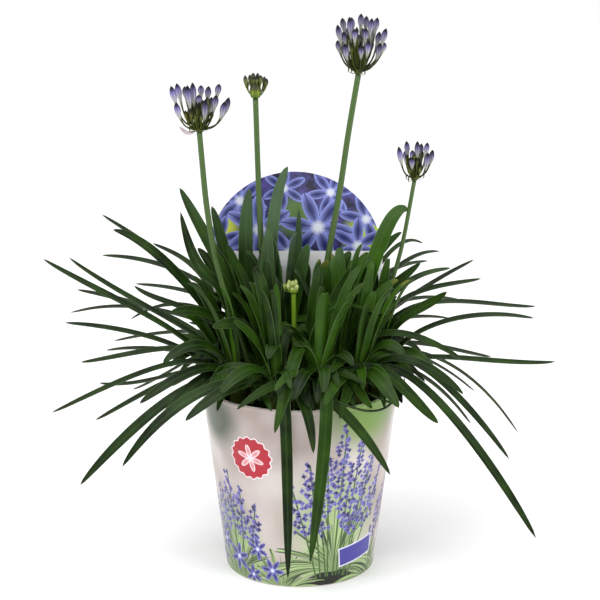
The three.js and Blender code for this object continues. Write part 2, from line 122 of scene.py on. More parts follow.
room = bpy.data.worlds.new("white room")
room.use_nodes = True
background = room.node_tree.nodes["Background"]
background.inputs["Color"].default_value = (1, 1, 1, 1)
upward = add_node(room.node_tree, "TexCoord", []).node.outputs["Generated"]
upward = add_node(room.node_tree, "SeparateXYZ", [upward]).node.outputs["Z"]
glow = add_node(room.node_tree, "MapRange", [upward, 0.0, 1.0, ROOM_WALLS, ROOM_CEILING])
room.node_tree.links.new(glow, background.inputs["Strength"])
bpy.context.scene.world = room
bpy.context.scene.view_settings.view_transform = "Standard"

for lamp_name, place, size, watts in [
        ("overhead lamp", (-0.7, -0.9, 2.0), 1.4, 26),
        ("side lamp", (1.6, -1.5, 1.0), 0.7, 14)]:
    lamp_data = bpy.data.lights.new(lamp_name, "AREA")
    lamp_data.size = size
    lamp_data.energy = watts
    lamp = bpy.data.objects.new(lamp_name, lamp_data)
    lamp.location = place
    lamp.rotation_euler = (CAMERA_AIM - lamp.location).to_track_quat("-Z", "Y").to_euler()
    bpy.context.scene.collection.objects.link(lamp)

# ---- Pot ----
# A grower's pot of thin moulded polypropylene, tapered, with a small turned lip. It stands on a ring
# and a hub, and drains through six holes. Its outside is printed, with the same scene twice round it.

POT_HEIGHT = 182.5
POT_RIM = 95  # the pot's radius at the top, over its lip
POT_BASE = 71  # and at the foot
POT_WALL = 1.6
POT_LIP = 1.1
LIP_HEIGHT = 4
FLOOR_TOP = 3.8
FLOOR_RECESS = 2
HUB_RADIUS = 24
RING_RADIUS = 61
DRAIN_COUNT = 6
DRAIN_RADIUS = 4
DRAIN_AT = 44  # the radius of the circle that the drain holes stand on
DRAIN_TURNS = 24
POT_TURNS = 144
POT_CREASE = math.radians(32)  # the pot's skin is smooth across flatter angles than this
MILLIMETRE = 0.001
PRINT_RADIUS = 83  # the print is laid out flat for the wall's radius at mid height
PRINT_HALF = math.pi * PRINT_RADIUS / 2


def wall_radius(height):
    """The radius of the outside of the pot's wall at a height."""
    return POT_BASE + (POT_RIM - POT_LIP - POT_BASE) * height / POT_HEIGHT


def stand(name, form, materials, slot, *nodes):
    """Turns a form modelled in millimetres into a piece of the plant that stands for CAD nodes."""
    bmesh.ops.scale(form, vec=(MILLIMETRE,) * 3, verts=form.verts)
    for face in form.faces:
        face.smooth = True
    data = bpy.data.meshes.new(name)
    form.to_mesh(data)
    form.free()
    for material in materials:
        data.materials.append(material)
    piece = bpy.data.objects.new(name, data)
    bpy.context.scene.collection.objects.link(piece)
    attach(piece, "root")
    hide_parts(*nodes)
    return piece


def on_circle(radius, angle):
    """The x and y of a point on a circle round the origin."""
    return radius * math.cos(angle), radius * math.sin(angle)


def turned(form, profile, turns):
    """Spins a profile of (radius, height) points round the upright axis into a skin."""
    verts = [form.verts.new((radius, 0, height)) for radius, height in profile]
    edges = [form.edges.new(pair) for pair in zip(verts, verts[1:])]
    bmesh.ops.spin(form, geom=verts + edges, cent=(0, 0, 0), axis=(0, 0, 1),
                   angle=2 * math.pi, steps=turns, use_merge=True)
    bmesh.ops.remove_doubles(form, verts=form.verts, dist=1e-4)
    bmesh.ops.recalc_face_normals(form, faces=form.faces)


def new_motif(name, inputs):
    """An empty node group for a printed motif, as (tree, its inputs, its colour)."""
    tree = bpy.data.node_groups.new(name, "ShaderNodeTree")
    for label, kind in inputs.items():
        tree.interface.new_socket(label, in_out="INPUT", socket_type="NodeSocket" + kind)
    tree.interface.new_socket("Colour", in_out="OUTPUT", socket_type="NodeSocketColor")
    return tree, tree.nodes.new("NodeGroupInput").outputs, tree.nodes.new("NodeGroupOutput").inputs[0]


def add_patches(tree, point, colour, patches):
    """Lays soft round patches over a colour. Each has its centre, its radius, the share of that
    within which it is solid, and its own colour."""
    for centre, size, solid, code in patches:
        away = add_node(tree, "VectorMath", [point, centre], "DISTANCE").node.outputs["Value"]
        blur = add_node(tree, "MapRange", [away, solid * size, size, 1.0, 0.0],
                        interpolation_type="SMOOTHSTEP")
        colour = add_node(tree, "Mix", [blur, colour, paint(code)], data_type="RGBA")
    return colour


# An open flower of six petals, seen from the front: each petal is an ellipse, deep along its middle
# and pale at its edge, and they meet in a pale throat. Its sizes are shares of the flower's radius.
PETAL_ARC = math.pi / 6
PETAL_MIDDLE = 0.54
PETAL_HALF_LENGTH = 0.46
PETAL_HALF_WIDTH = 0.19
PETAL_RIB = 0.1
THROAT = 0.15
THROAT_FADE = (0.08, 0.22)
open_flower, given, result = new_motif("open flower", {
    "Point": "Vector", "Centre": "Vector", "Size": "Float", "Turn": "Float",
    "Deep": "Color", "Pale": "Color", "Below": "Color"})
offset = add_node(open_flower, "VectorMath", [given["Point"], given["Centre"]], "SUBTRACT")
parts = add_node(open_flower, "SeparateXYZ", [offset]).node.outputs
far = add_node(open_flower, "VectorMath", [offset], "LENGTH")
far = add_node(open_flower, "Math", [far, given["Size"]], "DIVIDE")
heading = add_node(open_flower, "Math", [parts["Y"], parts["X"]], "ARCTAN2")
heading = add_node(open_flower, "Math", [heading, given["Turn"]], "ADD")
heading = add_node(open_flower, "Math", [heading, PETAL_ARC, -PETAL_ARC], "WRAP")
outward = add_node(open_flower, "Math", [heading], "COSINE")
outward = add_node(open_flower, "Math", [outward, far, -PETAL_MIDDLE], "MULTIPLY_ADD")
outward = add_node(open_flower, "Math", [outward, PETAL_HALF_LENGTH], "DIVIDE")
sideways = add_node(open_flower, "Math", [heading], "SINE")
sideways = add_node(open_flower, "Math", [sideways, far], "MULTIPLY")
sideways = add_node(open_flower, "Math", [sideways, PETAL_HALF_WIDTH], "DIVIDE")
spread = add_node(open_flower, "CombineXYZ", [outward, sideways, 0.0])
spread = add_node(open_flower, "VectorMath", [spread], "LENGTH")
paling = add_node(open_flower, "Math", [spread, 2.0], "POWER")
colour = add_node(open_flower, "Mix", [paling, given["Deep"], given["Pale"]], data_type="RGBA")
rib = add_node(open_flower, "Math", [sideways, 0.0, PETAL_RIB], "COMPARE")
rib = add_node(open_flower, "Math", [rib, 0.75], "MULTIPLY")
colour = add_node(open_flower, "Mix", [rib, colour, given["Deep"]], data_type="RGBA")
throat = add_node(open_flower, "MapRange", [far, *THROAT_FADE, 1.0, 0.0])
colour = add_node(open_flower, "Mix", [throat, colour, paint("#dfe3f0")], data_type="RGBA")
petal = add_node(open_flower, "Math", [spread, 1.0], "LESS_THAN")
core = add_node(open_flower, "Math", [far, THROAT], "LESS_THAN")
petal = add_node(open_flower, "Math", [petal, core], "MAXIMUM")
colour = add_node(open_flower, "Mix", [petal, given["Below"], colour], data_type="RGBA")
open_flower.links.new(colour, result)

# A tall spike of small blossoms on a green stem, from its foot to its top. The stem and the blossoms
# reach so many millimetres to each side of its middle, at these shares of its height.
BLOSSOM = 4.6  # the spacing of the blossoms
BLOSSOM_STRAY = 3.6  # how far they stray from even rows
BLOSSOM_EDGE = 0.74  # where one ends, as a share of that spacing
SPIKE_WIDEST = 10.0
SPIKE_WIDTHS = {"stem": [(0, 0.9), (0.94, 0.9), (0.95, 0)],
                "blossoms": [(0.44, 0), (0.52, 10), (0.76, 8), (0.98, 2.5), (1, 0)]}
flower_spike, given, result = new_motif("flower spike", {
    "Point": "Vector", "Foot": "Vector", "Top": "Vector", "Below": "Color"})
wobble = add_node(flower_spike, "TexNoise", {"Vector": given["Point"], "Scale": 1 / BLOSSOM})
wobble = add_node(flower_spike, "VectorMath", [
    wobble.node.outputs["Color"], (BLOSSOM_STRAY, BLOSSOM_STRAY, 0), given["Point"]], "MULTIPLY_ADD")
cells = add_node(flower_spike, "TexVoronoi", {"Vector": wobble, "Scale": 1 / BLOSSOM, "Exponent": 0.7},
                 voronoi_dimensions="2D", distance="MINKOWSKI").node.outputs
hue = add_node(flower_spike, "SeparateColor", [cells["Color"]])
reach = add_node(flower_spike, "VectorMath", [given["Top"], given["Foot"]], "SUBTRACT")
reach = add_node(flower_spike, "SeparateXYZ", [reach]).node.outputs
colour = given["Below"]
for part, place in (("stem", given["Point"]), ("blossoms", cells["Position"])):
    offset = add_node(flower_spike, "VectorMath", [place, given["Foot"]], "SUBTRACT")
    offset = add_node(flower_spike, "SeparateXYZ", [offset]).node.outputs
    height = add_node(flower_spike, "Math", [offset["Y"], reach["Y"]], "DIVIDE")
    aside = add_node(flower_spike, "Math", [height, reach["X"]], "MULTIPLY")
    aside = add_node(flower_spike, "Math", [offset["X"], aside], "SUBTRACT")
    aside = add_node(flower_spike, "Math", [aside], "ABSOLUTE")
    width = add_node(flower_spike, "ValToRGB", [height], stops=[
        (share, (*(width / SPIKE_WIDEST,) * 3, 1)) for share, width in SPIKE_WIDTHS[part]])
    width = add_node(flower_spike, "Math", [width, SPIKE_WIDEST], "MULTIPLY")
    inside = add_node(flower_spike, "Math", [aside, width], "LESS_THAN")
    if part == "stem":
        over = paint("#46662a")
        above_foot = add_node(flower_spike, "Math", [height, 0.0], "GREATER_THAN")
        inside = add_node(flower_spike, "Math", [inside, above_foot], "MULTIPLY")
    else:
        shade = add_node(flower_spike, "Math", [hue, 0.8, -0.4], "MULTIPLY_ADD")
        shade = add_node(flower_spike, "Math", [cells["Distance"], 1.1, shade], "MULTIPLY_ADD")
        over = add_node(flower_spike, "Mix", [shade, paint("#17123f"), paint("#8079cc")],
                        data_type="RGBA")
        petals = add_node(flower_spike, "Math", [cells["Distance"], BLOSSOM_EDGE], "LESS_THAN")
        inside = add_node(flower_spike, "Math", [inside, petals], "MULTIPLY")
    colour = add_node(flower_spike, "Mix", [inside, colour, over], data_type="RGBA")
flower_spike.links.new(colour, result)

# A tuft of narrow leaves that fan out from its root and arch over. Noise that is drawn out along
# lanes of like heading gives the blades and their lengths.
TUFT_LANES = 16  # blades to a radian
TUFT_FAN = 1.35  # radians to each side of upright
TUFT_ARCH = 0.55
leaf_tuft, given, result = new_motif("leaf tuft", {
    "Point": "Vector", "Root": "Vector", "Size": "Float", "Below": "Color"})
offset = add_node(leaf_tuft, "VectorMath", [given["Point"], given["Root"]], "SUBTRACT")
parts = add_node(leaf_tuft, "SeparateXYZ", [offset]).node.outputs
far = add_node(leaf_tuft, "VectorMath", [offset], "LENGTH")
far = add_node(leaf_tuft, "Math", [far, given["Size"]], "DIVIDE")
heading = add_node(leaf_tuft, "Math", [parts["X"], parts["Y"]], "ARCTAN2")
arch = add_node(leaf_tuft, "Math", [far, TUFT_ARCH, 1.0], "MULTIPLY_ADD")
heading = add_node(leaf_tuft, "Math", [heading, arch], "DIVIDE")
lane = add_node(leaf_tuft, "CombineXYZ", [heading, far, given["Size"]])
lane = add_node(leaf_tuft, "VectorMath", [lane, (TUFT_LANES, 0.7, 1)], "MULTIPLY")
blades = add_node(leaf_tuft, "TexNoise", {"Vector": lane, "Scale": 1.0, "Detail": 1.0})
length = add_node(leaf_tuft, "Math", [blades, 1.9, -0.15], "MULTIPLY_ADD")
near = add_node(leaf_tuft, "Math", [far, length], "LESS_THAN")
fan = add_node(leaf_tuft, "Math", [heading], "ABSOLUTE")
fan = add_node(leaf_tuft, "Math", [fan, TUFT_FAN], "LESS_THAN")
blade = add_node(leaf_tuft, "Math", [near, fan], "MULTIPLY")
streak = add_node(leaf_tuft, "VectorMath", [lane, (2.6, 1, 1)], "MULTIPLY")
streak = add_node(leaf_tuft, "TexNoise", {"Vector": streak, "Scale": 1.0, "Detail": 2.0})
green = add_node(leaf_tuft, "ValToRGB", [streak], stops=[
    (0.36, paint("#182c0c")), (0.62, paint("#adc68a"))])
colour = add_node(leaf_tuft, "Mix", [blade, given["Below"], green], data_type="RGBA")
leaf_tuft.links.new(colour, result)

# Offset-printed polypropylene: semi-gloss, with a soft pale picture of a summer border. The picture
# is laid out in millimetres to the right of the pot's front and up from its foot. These are each
# spike's foot and top, each tuft's root and size, each flower's centre, radius and turn, the seal's
# centre and radius, and the banner's centre, half width, half height and tilt.
SPIKES = [(22, 10, 8, 134), (30, 10, 24, 156), (36, 10, 42, 168), (44, 10, 60, 154), (50, 8, 76, 136),
          (28, 10, 16, 104), (40, 10, 50, 128), (48, 8, 66, 106), (54, 6, 92, 116), (18, 8, -10, 112),
          (-66, 4, -62, 100), (-74, 4, -78, 116), (-82, 4, -96, 98), (-90, 4, -114, 82),
          (-58, 4, -44, 86), (92, 2, 114, 100), (88, 2, 102, 82)]
TUFTS = [(-74, 0, 50), (86, -4, 44), (-18, -6, 44), (36, 14, 62)]
BLOOMS = [(-98, 34, 13, 0.2), (-74, 22, 15, 0.7), (-46, 36, 12, 0.4), (-30, 16, 13, 0.1),
          (-112, 12, 12, 0.9), (-54, 8, 11, 0.5)]
SEAL = (-46, 130, 21)
SEAL_LOBES = 16.0  # waves round its edge
SEAL_WAVE = 0.9  # and their height
SEAL_FLOWER = 13.5
BANNER = (66, 30, 24, 10, 0.12)
HAZE = 18.0  # to the metre, so that a patch of haze is about 55 mm wide

printed, tree, shader = finish("printed polypropylene", 0.3, 1.49)
here = add_node(tree, "TexCoord", []).node.outputs["Object"]
parts = add_node(tree, "SeparateXYZ", [here]).node.outputs
behind = add_node(tree, "Math", [parts["Y"], -1.0], "MULTIPLY")
turn = add_node(tree, "Math", [parts["X"], behind], "ARCTAN2")
along = add_node(tree, "Math", [turn, PRINT_RADIUS], "MULTIPLY")
along = add_node(tree, "Math", [along, PRINT_HALF, -PRINT_HALF], "WRAP")
height = add_node(tree, "Math", [parts["Z"], 1 / MILLIMETRE], "MULTIPLY")
point = add_node(tree, "CombineXYZ", [along, height, 0.0])

haze = add_node(tree, "TexNoise", {"Vector": here, "Scale": HAZE, "Detail": 1.5})
colour = add_node(tree, "ValToRGB", [haze], stops=[
    (0.35, paint("#ab9b95")), (0.6, paint("#d2c9c5"))])
# Soft patches of foliage out of focus, and deep shade at the foot of the border.
colour = add_patches(tree, point, colour, [
    ((64, 182, 0), 62, 0.3, "#6f903c"), ((-86, 162, 0), 40, 0.3, "#4d5842"),
    ((36, 70, 0), 66, 0.3, "#a3b583"), ((-78, 44, 0), 48, 0.3, "#93a578"),
    ((36, -34, 0), 54, 0.92, "#15170f")])
for root_x, root_y, size in TUFTS:
    colour = add_node(tree, "Group", [point, (root_x, root_y, 0), size, colour], node_tree=leaf_tuft)
for foot_x, foot_y, top_x, top_y in SPIKES:
    colour = add_node(tree, "Group", [point, (foot_x, foot_y, 0), (top_x, top_y, 0), colour],
                      node_tree=flower_spike)
for x, y, size, twist in BLOOMS:
    colour = add_node(tree, "Group", [
        point, (x, y, 0), size, twist, paint("#1f1c62"), paint("#8a88dc"), colour],
        node_tree=open_flower)

seal_x, seal_y, seal_radius = SEAL
offset = add_node(tree, "VectorMath", [point, (seal_x, seal_y, 0)], "SUBTRACT")
parts = add_node(tree, "SeparateXYZ", [offset]).node.outputs
heading = add_node(tree, "Math", [parts["Y"], parts["X"]], "ARCTAN2")
lobes = add_node(tree, "Math", [heading, SEAL_LOBES], "MULTIPLY")
lobes = add_node(tree, "Math", [lobes], "SINE")
edge = add_node(tree, "Math", [lobes, SEAL_WAVE, seal_radius], "MULTIPLY_ADD")
away = add_node(tree, "VectorMath", [offset], "LENGTH")
margin = add_node(tree, "Math", [edge, away], "SUBTRACT")
for inset, code in ((0.0, "#f3e2e8"), (1.3, "#b3122a")):
    inside = add_node(tree, "Math", [margin, inset], "GREATER_THAN")
    colour = add_node(tree, "Mix", [inside, colour, paint(code)], data_type="RGBA")
colour = add_node(tree, "Group", [
    point, (seal_x, seal_y, 0), SEAL_FLOWER, 0.3, paint("#e08792"), paint("#f6f0f0"), colour],
    node_tree=open_flower)

banner_x, banner_y, banner_half, banner_rise, banner_tilt = BANNER
tilted = add_node(tree, "VectorRotate", {
    "Vector": point, "Center": (banner_x, banner_y, 0), "Angle": -banner_tilt}, rotation_type="Z_AXIS")
offset = add_node(tree, "VectorMath", [tilted, (banner_x, banner_y, 0)], "SUBTRACT")
offset = add_node(tree, "VectorMath", [offset], "ABSOLUTE")
for inset, code in ((0.0, "#dedcec"), (1.4, "#403c98")):
    room_left = add_node(tree, "VectorMath", [
        (banner_half - inset, banner_rise - inset, 1), offset], "SUBTRACT")
    parts = add_node(tree, "SeparateXYZ", [room_left]).node.outputs
    inside = add_node(tree, "Math", [parts["X"], parts["Y"]], "MINIMUM")
    inside = add_node(tree, "Math", [inside, 0.0], "GREATER_THAN")
    colour = add_node(tree, "Mix", [inside, colour, paint(code)], data_type="RGBA")
tree.links.new(colour, shader.inputs["Base Color"])

# Unprinted polypropylene inside and underneath: warm white, a little glossy.
plain_plastic, _, _ = finish("plain polypropylene", 0.35, 1.49, "#d9d3cc")

pot_form = bmesh.new()
turned(pot_form, [(0, 0), (HUB_RADIUS, 0), (HUB_RADIUS + 2, FLOOR_RECESS)], POT_TURNS)
turned(pot_form, [
    (RING_RADIUS - 2, FLOOR_RECESS),
    (RING_RADIUS, 0), (POT_BASE - 1.5, 0), (POT_BASE - 0.6, 0.4), (POT_BASE, 1.2),
    (wall_radius(3), 3), (wall_radius(POT_HEIGHT - LIP_HEIGHT), POT_HEIGHT - LIP_HEIGHT),
    (wall_radius(POT_HEIGHT) + 0.6 * POT_LIP, POT_HEIGHT - 0.85 * LIP_HEIGHT),
    (POT_RIM, POT_HEIGHT - 0.6 * LIP_HEIGHT), (POT_RIM, POT_HEIGHT - 1),
    (POT_RIM - 0.3, POT_HEIGHT - 0.3), (POT_RIM - 1, POT_HEIGHT),
    (wall_radius(POT_HEIGHT) - POT_WALL + 0.3, POT_HEIGHT - 0.2),
    (wall_radius(POT_HEIGHT) - POT_WALL, POT_HEIGHT - 0.8),
    (wall_radius(FLOOR_TOP) - POT_WALL, FLOOR_TOP)], POT_TURNS)
for index in range(DRAIN_COUNT):
    angle = (index + 0.5) * 2 * math.pi / DRAIN_COUNT
    place = Matrix.Translation((*on_circle(DRAIN_AT, angle), FLOOR_RECESS))
    drain = bmesh.ops.create_circle(pot_form, segments=DRAIN_TURNS, radius=DRAIN_RADIUS, matrix=place)
    raised = bmesh.ops.extrude_edge_only(
        pot_form, edges=list({edge for vert in drain["verts"] for edge in vert.link_edges}))
    for item in raised["geom"]:
        if isinstance(item, bmesh.types.BMVert):
            item.co.z = FLOOR_TOP
for level in (FLOOR_RECESS, FLOOR_TOP):
    rims = [edge for edge in pot_form.edges
            if edge.is_boundary and abs(edge.verts[0].co.z - level) < 0.01]
    bmesh.ops.triangle_fill(pot_form, use_beauty=True, edges=rims)
bmesh.ops.recalc_face_normals(pot_form, faces=pot_form.faces)
for edge in pot_form.edges:
    edge.smooth = edge.calc_face_angle() < POT_CREASE
# The print is on the wall and the lip, where they face outwards.
for face in pot_form.faces:
    centre = face.calc_center_median()
    outside = face.normal.dot(Vector((centre.x, centre.y, 0)).normalized()) > 0.6
    face.material_index = 0 if outside and centre.length > POT_BASE else 1
stand("pot_printed", pot_form, [printed, plain_plastic], "pot", "pot")

# ---- Soil ----
# Dark peat compost that fills the pot to a finger's breadth under the rim, with crumbs and a few
# white grains of perlite on top.

SOIL_LEVEL = 167
SOIL_SLACK = 1.9  # from the outside of the pot's wall to the soil
SOIL_RINGS = 16
SOIL_BUMP = 2.4
SOIL_BUMP_WIDTH = 9
SOIL_SINK = 0.8  # lowers the bumps, so that they lie about the soil's level
CRUMBS = 420
GRAINS = 70
LUMP_SIZES = (0.7, 2.3)

# Damp peat: brown that is nearly black, and quite matt. Its crumbs are the same.
peat, _, _ = finish("peat compost", 0.95, 1.4, "#251b14")
# Perlite: chalk-white popped glass, matt.
perlite, _, _ = finish("perlite grain", 0.9, 1.5, "#d8d4ca")


def set_finish(verts, index):
    """Gives the faces that meet at these points the piece's material of that index."""
    for vert in verts:
        for face in vert.link_faces:
            face.material_index = index


soil_form = bmesh.new()
soil_top = wall_radius(SOIL_LEVEL) - SOIL_SLACK
turned(soil_form, [
    (0, FLOOR_TOP + 0.3), (wall_radius(FLOOR_TOP) - SOIL_SLACK, FLOOR_TOP + 0.3),
    (soil_top, SOIL_LEVEL - 1),
    *((soil_top * (1 - ring / SOIL_RINGS), SOIL_LEVEL) for ring in range(1, SOIL_RINGS + 1))],
    POT_TURNS)
for vert in soil_form.verts:
    if vert.co.z > SOIL_LEVEL - 2:
        vert.co.z += SOIL_BUMP * noise.fractal(vert.co / SOIL_BUMP_WIDTH, 1, 2, 4) - SOIL_SINK
chance = random.Random(5)
for index in range(CRUMBS + GRAINS):
    angle = chance.uniform(0, 2 * math.pi)
    out = (soil_top - 3) * math.sqrt(chance.random())
    size = chance.uniform(*LUMP_SIZES)
    place = Matrix.Translation((*on_circle(out, angle), SOIL_LEVEL + 0.2))
    squeeze = Matrix.Diagonal(
        (size, size * chance.uniform(0.6, 1), size * chance.uniform(0.5, 0.9), 1))
    lump = bmesh.ops.create_icosphere(
        soil_form, subdivisions=1, radius=1,
        matrix=place @ Matrix.Rotation(angle * 3, 4, "Z") @ squeeze)
    set_finish(lump["verts"], int(index >= CRUMBS))
stand("soil_fill", soil_form, [peat, perlite], "soil", "soil")

# ---- Leaf shoots ----
# Agapanthus grows as a clump of short shoots. Each is a sheath of leaf bases, pale where they leave
# the soil, with a fan of long waxy strap leaves that arch out from it.

SHEATH_RADIUS = 7.4
SHEATH_HEIGHT = 28
SHEATH_DEPTH = 6  # how far down into the soil the sheath is modelled
SHEATH_RINGS = 10
SHEATH_SIDES = 20
BLADE_ROOT = 182  # the height at which the blades leave the sheath
BLADE_APART = 3.5  # and how far out from its middle
BLADE_THICK = 1.5
BLADE_CHANNEL = 0.2
BLADE_FIRST = 0.12
BLADE_SECOND = 0.6
BLADE_WIDEST = 0.45  # a blade is at its full width this share of the way along
BLADE_BLUNT = 4
BLADE_RINGS = 26
BLADE_SIDES = 12

# In the CAD model each leaf is bent until it is clear of the others. The first of these bends that
# puts its tip on a corner of its CAD node is the same one.
BENDS = 240
BEND_TURN = 2.4
BEND_ASIDE = 1.5
BEND_RISE = 0.7
BEND_MOST = 1.7
SAME = 0.05

# Where each shoot stands, and its leaves, one row each:
# (tip x, tip y, tip z, height of the knee, height of the crest, sway, width, roll).
# The knee and the crest are control points an eighth and six tenths of the way out. Sway moves the
# crest to the left of that way, and roll turns the upper face forward, in degrees.
SHOOTS = [
    ((-58, -38), [
        (-109, -40, 353, 345, 240, -10, 11, 75),
        (-204, -40, 212, 250, 220, 5, 9, 15),
        (-231, -50, 166, 245, 200, 10, 9, 15),
        (-199, -90, 114, 225, 180, 0, 12, 30),
        (-125, -70, 220, 235, 245, 0, 12, 35),
        (-72, -60, 285, 235, 265, 0, 12, 60),
        (-150, -78, 188, 228, 215, 0, 11, 35),
        (-128, -92, 168, 220, 205, 0, 12, 30)]),
    ((-22, -62), [
        (-161, -110, 134, 215, 215, 0, 12, 35),
        (-11, -128, 32, 225, 248, 5, 11, 0),
        (12, -118, 150, 210, 210, 10, 12, 0),
        (80, -118, 129, 215, 200, -5, 12, 25),
        (-60, -75, 262, 230, 250, 0, 12, 40),
        (-35, -95, 232, 235, 255, 0, 12, 0),
        (-105, -104, 176, 215, 205, 0, 12, 35),
        (-72, -98, 200, 225, 225, 0, 13, 30)]),
    ((18, -64), [
        (9, -128, 48, 225, 240, 25, 12, 0),
        (-4, -84, 240, 225, 245, 0, 12, 10),
        (38, -75, 262, 225, 260, 0, 12, 20),
        (45, -90, 225, 230, 245, 0, 12, 10),
        (25, -104, 205, 225, 235, 8, 11, 0),
        (-5, -106, 196, 222, 228, 0, 13, 5)]),
    ((54, -42), [
        (222, -60, 45, 255, 165, -15, 11, 35),
        (127, -75, 164, 240, 190, -5, 11, 45),
        (95, -70, 228, 230, 245, 0, 12, 30),
        (62, -60, 275, 225, 260, 0, 12, 30),
        (150, -70, 190, 235, 225, 5, 10, 30),
        (98, -92, 186, 222, 212, 0, 13, 30)]),
    ((72, -2), [
        (137, -15, 273, 255, 245, 15, 10, 60),
        (223, 15, 239, 240, 255, -10, 9, 12),
        (242, -5, 202, 225, 195, 0, 9, 15),
        (200, -20, 118, 240, 185, 10, 10, 25),
        (171, 20, 130, 210, 190, 0, 9, 15),
        (125, -48, 205, 225, 225, 0, 12, 30)]),
    ((60, 26), [
        (71, 35, 289, 215, 240, -15, 9, 30),
        (147, 80, 272, 270, 275, -10, 9, 10),
        (179, 50, 272, 270, 265, 5, 9, 12),
        (223, 60, 248, 285, 255, -10, 9, 10),
        (190, 85, 180, 230, 195, -5, 9, 12),
        (215, 45, 114, 220, 215, -15, 8, 5)]),
    ((36, 62), [
        (40, 130, 280, 235, 280, 0, 12, 10),
        (100, 165, 215, 240, 240, 0, 9, 5),
        (121, 90, 294, 225, 320, 0, 8, 5),
        (138, 110, 288, 235, 300, 0, 8, 5),
        (128, 125, 268, 250, 270, 10, 8, 5),
        (171, 90, 278, 210, 255, -5, 8, 10),
        (162, 130, 225, 230, 240, 10, 8, 5),
        (157, 120, 210, 215, 225, 0, 8, 5),
        (176, 120, 134, 215, 190, -15, 8, 8)]),
    ((-2, 72), [
        (-45, 165, 220, 240, 250, 0, 11, 5),
        (65, 175, 225, 245, 255, -5, 10, 5),
        (-30, 110, 330, 240, 310, 0, 12, 20),
        (25, 125, 315, 240, 300, 0, 12, 10),
        (-55, 120, 280, 240, 275, 5, 12, 10),
        (50, 105, 300, 240, 290, 0, 12, 15),
        (0, 155, 265, 245, 280, 5, 11, 0)]),
    ((-38, 62), [
        (-48, 120, 295, 235, 285, 0, 12, 10),
        (-105, 165, 225, 240, 250, 5, 9, 5),
        (-195, 95, 281, 255, 280, -10, 9, 12),
        (-227, 85, 225, 215, 250, 0, 8, 5),
        (-174, 90, 209, 210, 250, -10, 8, 10),
        (-173, 100, 245, 240, 245, 0, 8, 8),
        (-187, 110, 189, 220, 210, 10, 8, 5),
        (-168, 90, 144, 235, 165, -10, 8, 5)]),
    ((-66, 24), [
        (-191, 65, 329, 270, 300, 0, 8, 5),
        (-145, 80, 298, 280, 285, -10, 8, 5),
        (-220, 30, 295, 225, 245, 0, 9, 15),
        (-151, 50, 266, 260, 245, 10, 9, 15),
        (-223, 45, 254, 225, 240, -15, 9, 12),
        (-190, 60, 194, 200, 210, 15, 8, 5),
        (-197, 50, 166, 205, 160, -5, 8, 8)]),
    ((-74, -8), [
        (-238, -20, 306, 235, 265, 15, 10, 20),
        (-222, 0, 239, 220, 235, 0, 9, 12),
        (-193, -25, 153, 215, 180, 5, 9, 12)]),
    ((-30, -22), [
        (-11, 5, 388, 205, 345, 20, 14, 5),
        (-90, -60, 255, 250, 260, 0, 13, 40),
        (-27, -10, 332, 220, 290, 0, 14, 0),
        (-62, -30, 318, 225, 290, 0, 12, 60),
        (-45, -50, 270, 230, 260, 0, 13, 30),
        (-20, 8, 296, 230, 275, 0, 13, 30)]),
    ((6, -30), [
        (-28, -108, 165, 255, 240, 8, 13, 0),
        (17, -98, 187, 205, 225, -8, 12, 0),
        (40, -92, 185, 225, 210, 0, 12, 0),
        (50, -15, 298, 225, 255, 8, 15, 60),
        (80, -35, 257, 300, 260, -10, 8, 5),
        (20, -18, 300, 230, 275, 0, 14, 10),
        (-24, -56, 255, 230, 255, 0, 13, 10),
        (28, -55, 272, 230, 262, 0, 14, 20)]),
    ((38, -16), [
        (100, -5, 348, 200, 370, 0, 14, 70),
        (153, -20, 208, 255, 240, -8, 11, 20),
        (78, -92, 186, 225, 196, 0, 11, 0),
        (14, -85, 216, 205, 240, 20, 12, 0),
        (62, -30, 300, 225, 280, 0, 14, 50),
        (70, -50, 262, 230, 262, 0, 14, 35)]),
    ((22, 14), [
        (96, 20, 322, 225, 300, 10, 11, 40),
        (115, 20, 289, 225, 255, 0, 11, 55),
        (40, 25, 303, 265, 260, 15, 12, 30),
        (30, 5, 303, 230, 280, 0, 15, 10),
        (65, 30, 300, 225, 280, 0, 13, 40),
        (48, 34, 300, 230, 285, 0, 14, 20),
        (22, 36, 292, 230, 280, 0, 14, 10)]),
    ((-14, 12), [
        (-30, 32, 308, 230, 285, 0, 14, 10),
        (-8, 30, 292, 230, 275, 0, 15, 10),
        (-1, 30, 343, 240, 265, -8, 10, 5),
        (20, -10, 248, 255, 245, -8, 12, 20),
        (-60, 30, 305, 235, 280, 0, 13, 50),
        (8, 14, 312, 230, 285, 0, 14, 60)]),
    ((-46, 0), [
        (-111, -10, 371, 270, 315, 8, 12, 70),
        (-174, -5, 330, 215, 320, 8, 12, 40),
        (-47, 20, 364, 225, 315, 10, 14, 5),
        (-83, 0, 350, 205, 300, 0, 13, 60),
        (-95, -15, 315, 240, 290, 5, 13, 60),
        (-120, -40, 262, 245, 265, 0, 13, 40)]),
]


